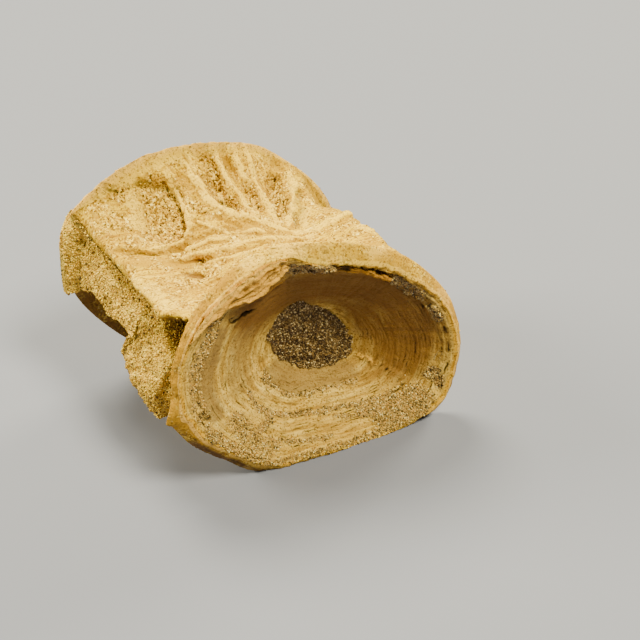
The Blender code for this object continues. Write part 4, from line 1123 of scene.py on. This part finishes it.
def build_bone():
    """The bone in two closed skins that meet along the near lip's crest: the near cup's wall,
    which is a shell, and the rest, whose own near cup is hidden behind that wall."""
    near, far = column_angles(0.0)[None], column_angles(1.0)[None]
    near_cup = (NEAR_STEPS, NEAR_PATCHES)
    hidden = (np.arange(1, HIDDEN_ROWS + 1) / (HIDDEN_ROWS + 0.4))[:, None]
    parts = [cup_surface(NEAR_END, near, hidden, *near_cup, -0.5 * WALL)]
    turns = (np.arange(0, NEAR_LIP_ROWS + 1) * 90.0 / NEAR_LIP_ROWS)[:, None]
    parts.append(lip_surface(NEAR_END, near, turns))
    spread = (np.arange(1, FLANK_ROWS + 1) / (FLANK_ROWS + 1))[:, None]
    spread = 0.7 * spread + 0.3 * smoothstep(0.0, 1.0, spread)
    angle = np.stack([column_angles(share) for share in spread[:, 0]])
    back_near, back_far = set_back(NEAR_END, angle), set_back(FAR_END, angle)
    first = back_near + by_angle(NEAR_END["along"], angle) + 0.5 * back_near
    last = LENGTH - (back_far + by_angle(FAR_END["along"], angle) + 0.5 * back_far)
    parts.append(flank_surface(angle, first + (last - first) * spread))
    turns = (np.arange(FAR_LIP_ROWS, 0, -1) * 90.0 / FAR_LIP_ROWS)[:, None]
    parts.append(lip_surface(FAR_END, far, turns))
    shares = (np.arange(FAR_CUP_ROWS, 0, -1) / FAR_CUP_ROWS)[:, None]
    shares = 0.45 * shares + 0.55 * shares ** 0.7
    parts.append(cup_surface(FAR_END, far, shares, FAR_STEPS, FAR_PATCHES))
    vertices, quads, triangles, flat = with_poles(
        parts, cup_surface(NEAR_END, *POLE, *near_cup, -0.5 * WALL),
        cup_surface(FAR_END, *POLE, FAR_STEPS, FAR_PATCHES))
    material = bone_material()
    add_piece("bone_skin", vertices, quads, triangles, material, flat, "centrum")
    BUILT["bone"] = (vertices, quads, flat)

    shares = (np.arange(1, NEAR_CUP_ROWS + 1) / NEAR_CUP_ROWS)[:, None]
    shares = 0.4 * shares + 0.6 * shares ** 0.7         # rows stand closer towards the lip
    parts = [cup_surface(NEAR_END, near, shares, *near_cup),
             cup_surface(NEAR_END, near, hidden[::-1], *near_cup, -WALL)]
    vertices, quads, triangles, flat = with_poles(
        parts, cup_surface(NEAR_END, *POLE, *near_cup),
        cup_surface(NEAR_END, *POLE, *near_cup, -WALL))
    add_piece("near_cup", vertices, quads, triangles, material, flat, "centrum")
    BUILT["cup"] = (vertices, quads[:(NEAR_CUP_ROWS - 1) * COLUMNS], flat)


def build_plug():
    """The plug: a closed lens. Its underside follows the near cup, and its top climbs from the
    middle to a ragged border by a power of the share, with lumps and grain-sized roughness."""
    angle = np.arange(PLUG_COLUMNS)[None] * 360.0 / PLUG_COLUMNS
    turn = np.radians(angle)
    ring = stacked(np.cos(turn), np.sin(turn), 9.0)
    border = closed_curve(PLUG_OUTLINE, angle) + 0.022 * rough(ring, 0.22, 3, 81)
    near_cup = (NEAR_STEPS, NEAR_PATCHES)
    under_steps = (np.arange(1, PLUG_UNDER_ROWS + 1) / PLUG_UNDER_ROWS)[:, None]
    under = cup_surface(NEAR_END, angle, border * under_steps, *near_cup, -PLUG_SUNK)[0]
    steps = (np.arange(PLUG_ROWS, 0, -1) / (PLUG_ROWS + 1))[:, None]
    top = cup_surface(NEAR_END, angle, border * steps, *near_cup, 0.1)[0]
    cup_depth = top[..., 1] + LENGTH / 2
    edge_depth = cup_surface(NEAR_END, angle, border, *near_cup, -0.1)[0]
    edge_depth = edge_depth[..., 1] + LENGTH / 2
    depth = PLUG_DEPTH + (edge_depth - PLUG_DEPTH) * steps ** 1.7
    depth = np.minimum(depth, cup_depth - PLUG_SUNK)
    lumpy = 1 - smoothstep(0.8, 1.0, steps)
    lumps = 0.55 * rough(top, 3.2, 3, 83) + 0.2 * rough(top, 0.8, 2, 87)
    depth = depth - lumps * (0.3 + 0.7 * lumpy)
    top[..., 1] = depth - LENGTH / 2
    bottom = cup_surface(NEAR_END, *POLE, *near_cup, -PLUG_SUNK)[0][0, 0]
    peak = top[-1].mean(0)
    rings = np.concatenate([under, top])
    vertices, quads, triangles = closed_rings(rings, bottom, peak)
    quads, triangles = quads[:, ::-1], triangles[:, ::-1]
    material = sandstone_material("iron_stained_sand", (
        (0.0, "#2A1C10"), (0.20, "#4E3820"), (0.42, "#6C5030"), (0.62, "#8A6A42"),
        (0.82, "#B0905E"), (0.93, "#DCC298")),
        ("#4C341A", "#7C5C34", "#2A1D10", "#C8A06A"), 2500.0)
    fields = {name: np.zeros(len(vertices)) for name in ("shade", "light")}
    add_piece("plug_sand", vertices, quads, triangles, material, fields, "cup_matrix")
    BUILT["plug"] = (vertices, quads, {"top": np.concatenate(
        [[0], np.repeat(np.r_[np.zeros(len(under)), np.ones(len(top))], PLUG_COLUMNS), [1]])})


def along_polyline(points, share):
    """Places at even shares of a list of points."""
    points = np.asarray(points)
    stops = np.linspace(0.0, 1.0, len(points))
    return np.stack([np.interp(share, stops, points[:, axis]) for axis in range(2)], axis=-1)


def build_plate():
    """The plate: a loft from its border to its broken edge, thick where the waist is deep,
    roughened by lumps of 3 mm, crumbs of 1 mm and grains, with a crumbling lower edge. Painted
    shade lies along its border, in its pit and over its back."""
    across = np.linspace(0, 1, PLATE_COLUMNS)
    border = along_polyline(PLATE_BORDER, across)[:, None]
    edge = along_polyline(PLATE_EDGE, across)[:, None]
    line = stacked(across * 40, 0.0, 3.0)[:, None]
    inside = (smoothstep(0.0, 0.10, across) * smoothstep(1.0, 0.92, across))[:, None]
    edge = edge + stacked(1.5 * rough(line, 2.2, 4, 91), 1.1 * rough(line, 1.6, 3, 95) * inside)
    down = np.linspace(0, 1, PLATE_ROWS)[None, :]
    angle = border[..., 0] + (edge[..., 0] - border[..., 0]) * down
    place = border[..., 1] + (edge[..., 1] - border[..., 1]) * down

    lobe_angle, lobe_place, reach_angle, reach_place = PLATE_LOBE
    lobe = np.exp(-((angle - lobe_angle) / reach_angle) ** 2
                  - ((place - lobe_place) / reach_place) ** 2)
    rim = rim_radius(angle, place)
    ends = across[:, None]
    rise = smoothstep(*PLATE_RISE_FAR, ends) * smoothstep(*PLATE_RISE_NEAR, 1 - ends)
    rise = rise * smoothstep(*PLATE_RISE_DOWN, down)
    floor = flank_base(angle, place)
    middle = np.sin(np.pi * place / LENGTH)
    level = PLATE_SHARE[0] + (PLATE_SHARE[1] - PLATE_SHARE[0]) * down
    full = rim * (level + PLATE_ENDS * (1 - middle) + PLATE_BULGE * lobe)
    thin = PLATE_THIN * (1 - 0.7 * smoothstep(*PLATE_THINNING, place))
    outer = floor + thin + np.maximum(full - floor - thin, 0.0) * rise
    pit_path, pit_reach, pit_depth = PLATE_PIT
    pit = 1 - smoothstep(0.5, 1.0, path_distance(angle, place, pit_path, rim) / pit_reach)
    corner = smoothstep(0.35, 0.85, down) * smoothstep(LENGTH, LENGTH - 1.0, place)
    proud = rim + PLATE_CLEAR + PLATE_PROUD * corner
    outer = outer + (proud - outer) * smoothstep(*PLATE_FLUSH, place) - pit_depth * pit
    spot = at(angle, place, outer)
    facet = np.exp(-((angle - FACET[0]) / FACET[1]) ** 2 - ((place - FACET[2]) / FACET[3]) ** 2)
    ring = np.hypot(np.radians(angle - IMPRINT[0]) * rim, place - IMPRINT[1])
    crumbs = 0.35 * rough(spot, 3.4, 3, 97) + 0.16 * rough(spot, 0.9, 3, 101)
    coarse = smoothstep(0.45, 1.0, down) * smoothstep(0.55, 0.8, ends)
    crumbs = crumbs + 0.75 * coarse * rough(spot, 1.7, 2, 103)
    crumbs = crumbs * (1 - 0.8 * facet) * (1 - 0.6 * smoothstep(*PLATE_THINNING, place))
    crumbs = crumbs - 0.30 * np.exp(-((ring - IMPRINT[2]) / 0.35) ** 2)
    outer = outer + (crumbs * smoothstep(0.0, 0.08, down) * smoothstep(0, 0.05, ends)
                     * smoothstep(0, 0.05, 1 - ends))
    angle_under = angle - PLATE_UNDERCUT * smoothstep(UNDERCUT_START, 1.0, down)
    inner = np.minimum(flank_base(angle_under, place) - 0.3, outer - 0.3)

    skin = at(angle, place, outer).reshape(-1, 3)
    back = at(angle_under, place, inner).reshape(-1, 3)
    vertices = np.concatenate([skin, back])
    index = np.arange(PLATE_COLUMNS * PLATE_ROWS).reshape(PLATE_COLUMNS, PLATE_ROWS)
    under = index + index.size
    rims = [np.concatenate([grid[:, 0], grid[-1, 1:], grid[-2::-1, -1], grid[0, -2::-1]])
            for grid in (index, under)]
    quads = np.concatenate([grid_faces(index)[:, ::-1], grid_faces(under),
                            grid_faces(np.stack(rims))[:, ::-1]])
    # Darker patches towards the upper border, laid through the shade field.
    cast = 0.45 * np.clip(0.3 + 1.6 * rough(spot, 7.0, 3, 105), 0, 1)
    cast = cast * (1 - smoothstep(0.2, 0.6, down))
    # Painted shade: a dark strip along the border under the strut, in the pit, and over the back
    # and broken faces.
    shade = np.maximum.reduce([0.8 * (1 - smoothstep(0.0, 0.09, down)) + 0 * place, 0.95 * pit,
                               cast]).ravel()
    # shade carries the painted shade, light the facet's painted light.
    fields = {"shade": np.concatenate([shade, 0.8 * np.ones(len(back))]),
              "light": np.concatenate([facet.ravel(), np.zeros(len(back))])}
    # Its last two tones are the painted shade and the painted light.
    material = sandstone_material("cemented_sand", (
        (0.0, "#7A5A1C"), (0.12, "#B48A34"), (0.28, "#DCB040"), (0.50, "#F2CC54"),
        (0.76, "#FADC70"), (0.93, "#B4842A")),
        ("#C69C3A", "#F2CC58", "#2C1E0C", "#F2BC2E"), 2700.0)
    add_piece("plate_sand", vertices, quads, np.zeros((0, 3), int), material, fields,
              "flank_matrix")
    outside = np.concatenate([np.ones(len(skin)), np.zeros(len(back))])
    BUILT["plate"] = (vertices, quads, {"top": outside})


def icosahedron():
    """Corners and faces of a grain: three golden rectangles at right angles."""
    golden = (1 + 5 ** 0.5) / 2
    corners = [(a, b * golden, 0) for a in (-1, 1) for b in (-1, 1)]
    corners = np.array([np.roll(corner, turn) for turn in range(3) for corner in corners])
    corners = corners / np.linalg.norm(corners[0])
    gaps = np.linalg.norm(corners[:, None] - corners[None], axis=-1)
    near = (gaps > 0) & (gaps < 1.1)
    faces = [(a, b, c) for a in range(12) for b in range(a + 1, 12) for c in range(b + 1, 12)
             if near[a, b] and near[b, c] and near[a, c]]
    faces = np.array(faces)
    tips = corners[faces]
    normal = np.cross(tips[:, 1] - tips[:, 0], tips[:, 2] - tips[:, 0])
    inward = (normal * tips.mean(1)).sum(-1) < 0
    faces[inward] = faces[inward][:, ::-1]
    return corners, faces


def scatter(name, surface, weight, count, size, material, seed):
    """Loose grains joined in one mesh: centres spread over a surface in proportion to area
    times weight, sunk a little, each an icosahedron stretched and turned at random."""
    vertices, quads = surface[:2]
    draw = np.random.default_rng(seed)
    corners = vertices[quads]
    normal = np.cross(corners[:, 2] - corners[:, 0], corners[:, 3] - corners[:, 1])
    area = np.linalg.norm(normal, axis=-1) / 2
    chance = area * weight[quads].mean(1)
    chosen = draw.choice(len(quads), size=count, p=chance / chance.sum())
    u, v = draw.random((2, count, 1))
    tips = corners[chosen]
    centre = (tips[:, 0] * (1 - u) * (1 - v) + tips[:, 1] * u * (1 - v)
              + tips[:, 2] * u * v + tips[:, 3] * (1 - u) * v)
    facing = normal[chosen] / (2 * area[chosen, None] + 1e-12)
    radius = size * (0.65 + 0.7 * draw.random((count, 1)) ** 1.5) / 2
    centre = centre + facing * radius * (1 - 2 * GRAIN_SINK)
    shape, faces = icosahedron()
    stretch = 0.75 + 0.5 * draw.random((count, 1, 3))
    spin = np.linalg.qr(draw.normal(size=(count, 3, 3)))[0]
    spin *= np.sign(np.linalg.det(spin))[:, None, None]
    points = np.einsum("nij,nkj->nki", spin, shape[None] * stretch) * radius[:, None]
    points = points + centre[:, None]
    triangles = faces[None] + 12 * np.arange(count)[:, None, None]
    tone = np.repeat(draw.random(count), 12)
    add_piece(name, points.reshape(-1, 3), np.zeros((0, 4), int), triangles.reshape(-1, 3),
              material, {"tone": tone})


def build_grains(size):
    """Loose grains on the plug, the plate, the near cup and the hollows of the bone, each 0.65
    to 1.35 times the given size wide."""
    pale = grain_material("loose_pale_sand", (
        (0.0, "#342818"), (0.18, "#6A5636"), (0.38, "#94784A"), (0.60, "#B8965A"),
        (0.78, "#C48E42"), (0.90, "#D4B678"), (1.0, "#ECD8A6")))
    golden = grain_material("loose_golden_sand", (
        (0.0, "#3E2A0E"), (0.18, "#6E4E18"), (0.36, "#A87E28"), (0.58, "#D2A438"),
        (0.80, "#EEC854"), (1.0, "#F6D870")))
    dark = grain_material("loose_brown_sand", (
        (0.0, "#2C1E12"), (0.30, "#4E3822"), (0.60, "#74572F"), (0.85, "#A2845A"),
        (1.0, "#DCC49C")))
    plug, plate, bone, cup = BUILT["plug"], BUILT["plate"], BUILT["bone"], BUILT["cup"]
    scatter("plug_grains", plug, plug[2]["top"], 5200, size, dark, 5)
    scatter("plate_grains", plate, plate[2]["top"], 8500, size, golden, 7)
    fields = bone[2]
    sand = np.clip(fields["sand"] - 0.25, 0, 1)
    in_cup = fields["cup"] > 0.5
    scatter("cup_grains", cup, np.clip(cup[2]["sand"] - 0.25, 0, 1), 7600, size, pale,
            11)
    near = bone[0][:, 1] < -0.45 * LENGTH
    scatter("flank_grains", bone, (sand + 0.05) * ~in_cup * ~near, 9500, FLANK_GRAINS * size,
            golden, 13)
    scatter("far_cup_grains", bone, sand * in_cup * ~near, 2600, size, pale, 17)
    scatter("crust_grains", cup, np.clip(cup[2]["crust"] - 0.5, 0, 1), 2200, size, pale,
            19)


def build_stage(floor_colour, warmth):
    """Pale floor, four soft round lamps, a faint warm surrounding and the camera."""
    corners = FLOOR_HALF * np.array([(-1, -1, 0), (1, -1, 0), (1, 1, 0), (-1, 1, 0)])
    mesh = bpy.data.meshes.new("floor")
    mesh.from_pydata(corners.tolist(), [], [(0, 1, 2, 3)])
    material, tree = new_material("matt_paper")      # an even ground without shine
    surface = node(tree, "BsdfPrincipled", Roughness=0.9)
    surface.inputs["Base Color"].default_value = (*floor_colour, 1.0)
    node(tree, "OutputMaterial", Surface=surface)
    mesh.materials.append(material)
    floor = bpy.data.objects.new("floor", mesh)
    bpy.context.scene.collection.objects.link(floor)

    for name, towards, width, power in LAMPS:
        light = bpy.data.lights.new(name, "AREA")
        light.shape = "DISK"
        light.size = width
        light.energy = power
        light.color = [1.0 - drop * warmth for drop in WARM_DROP]
        lamp = bpy.data.objects.new(name, light)
        bpy.context.scene.collection.objects.link(lamp)
        back = np.array(towards) / np.linalg.norm(towards)
        aim(lamp, back * LAMP_DISTANCE + LAMP_AIM, back)
    world = bpy.data.worlds.new("studio")
    world.use_nodes = True
    background = world.node_tree.nodes["Background"].inputs
    background["Color"].default_value = WORLD_COLOUR
    background["Strength"].default_value = WORLD_STRENGTH
    bpy.context.scene.world = world

    lens = bpy.data.cameras.new("camera")
    lens.lens = CAMERA_LENS
    lens.sensor_width = CAMERA_SENSOR
    lens.clip_start = 0.01
    camera = bpy.data.objects.new("camera", lens)
    bpy.context.scene.collection.objects.link(camera)
    aim(camera, CAMERA_PLACE, -np.array(CAMERA_AHEAD))
    bpy.context.scene.camera = camera


def aim(item, place, back):
    """Stand a lamp or camera at a place with its back along a direction and no roll."""
    back = back / np.linalg.norm(back)
    side = np.cross((0, 0, 1), back)
    side = side / np.linalg.norm(side)
    up = np.cross(back, side)
    matrix = np.eye(4)
    matrix[:3, 0], matrix[:3, 1], matrix[:3, 2], matrix[:3, 3] = side, up, back, place
    item.matrix_world = Matrix(matrix.tolist())


class FossilSettings(bpy.types.PropertyGroup):
    """Sizes and colours that a user would change."""
    grain_size: FloatProperty(name="Grain size", description="Nominal width of a loose sand grain",
                              default=GRAIN_WIDTH * MM, min=0.1 * MM, unit="LENGTH")
    floor_colour: FloatVectorProperty(name="Floor", description="Colour of the floor",
                                      subtype="COLOR", default=(0.185, 0.192, 0.35))
    warmth: FloatProperty(name="Warmth", description="How warm the lamps are", default=1.0,
                          min=0.0, max=3.0, subtype="FACTOR")


class FOSSIL_OT_bone(bpy.types.Operator):
    """Build the bone's skin"""
    bl_idname = "fossil.bone"
    bl_label = "Bone"

    def execute(self, context):
        build_bone()
        return {"FINISHED"}


class FOSSIL_OT_plug(bpy.types.Operator):
    """Build the sand plug in the near cup"""
    bl_idname = "fossil.plug"
    bl_label = "Sand plug"

    def execute(self, context):
        build_plug()
        return {"FINISHED"}


class FOSSIL_OT_plate(bpy.types.Operator):
    """Build the sand plate on the left flank"""
    bl_idname = "fossil.plate"
    bl_label = "Sand plate"

    def execute(self, context):
        build_plate()
        return {"FINISHED"}


class FOSSIL_OT_grains(bpy.types.Operator):
    """Scatter the loose grains"""
    bl_idname = "fossil.grains"
    bl_label = "Loose grains"

    def execute(self, context):
        build_grains(context.scene.fossil.grain_size / MM)
        return {"FINISHED"}


class FOSSIL_OT_stage(bpy.types.Operator):
    """Build the floor, the lights and the camera"""
    bl_idname = "fossil.stage"
    bl_label = "Stage"

    def execute(self, context):
        settings = context.scene.fossil
        build_stage(tuple(settings.floor_colour), settings.warmth)
        return {"FINISHED"}


class FOSSIL_PT_panel(bpy.types.Panel):
    """Settings and steps of the fossil"""
    bl_label = "Fossil vertebra"
    bl_idname = "FOSSIL_PT_panel"
    bl_space_type = "VIEW_3D"
    bl_region_type = "UI"
    bl_category = "Fossil"

    def draw(self, context):
        for name in ("grain_size", "floor_colour", "warmth"):
            self.layout.prop(context.scene.fossil, name)
        for operator in OPERATORS:
            self.layout.operator(operator.bl_idname)


OPERATORS = (FOSSIL_OT_bone, FOSSIL_OT_plug, FOSSIL_OT_plate, FOSSIL_OT_grains, FOSSIL_OT_stage)
CLASSES = (FossilSettings, *OPERATORS, FOSSIL_PT_panel)


def register():
    """Register the classes and hang the settings on the scene."""
    for item in CLASSES:
        bpy.utils.register_class(item)
    bpy.types.Scene.fossil = PointerProperty(type=FossilSettings)


def unregister():
    """Undo register."""
    del bpy.types.Scene.fossil
    for item in reversed(CLASSES):
        bpy.utils.unregister_class(item)


def main():
    """Build every piece in order."""
    register()
    for operator in OPERATORS:
        group, name = operator.bl_idname.split(".")
        getattr(getattr(bpy.ops, group), name)()


if __name__ == "__main__":
    main()
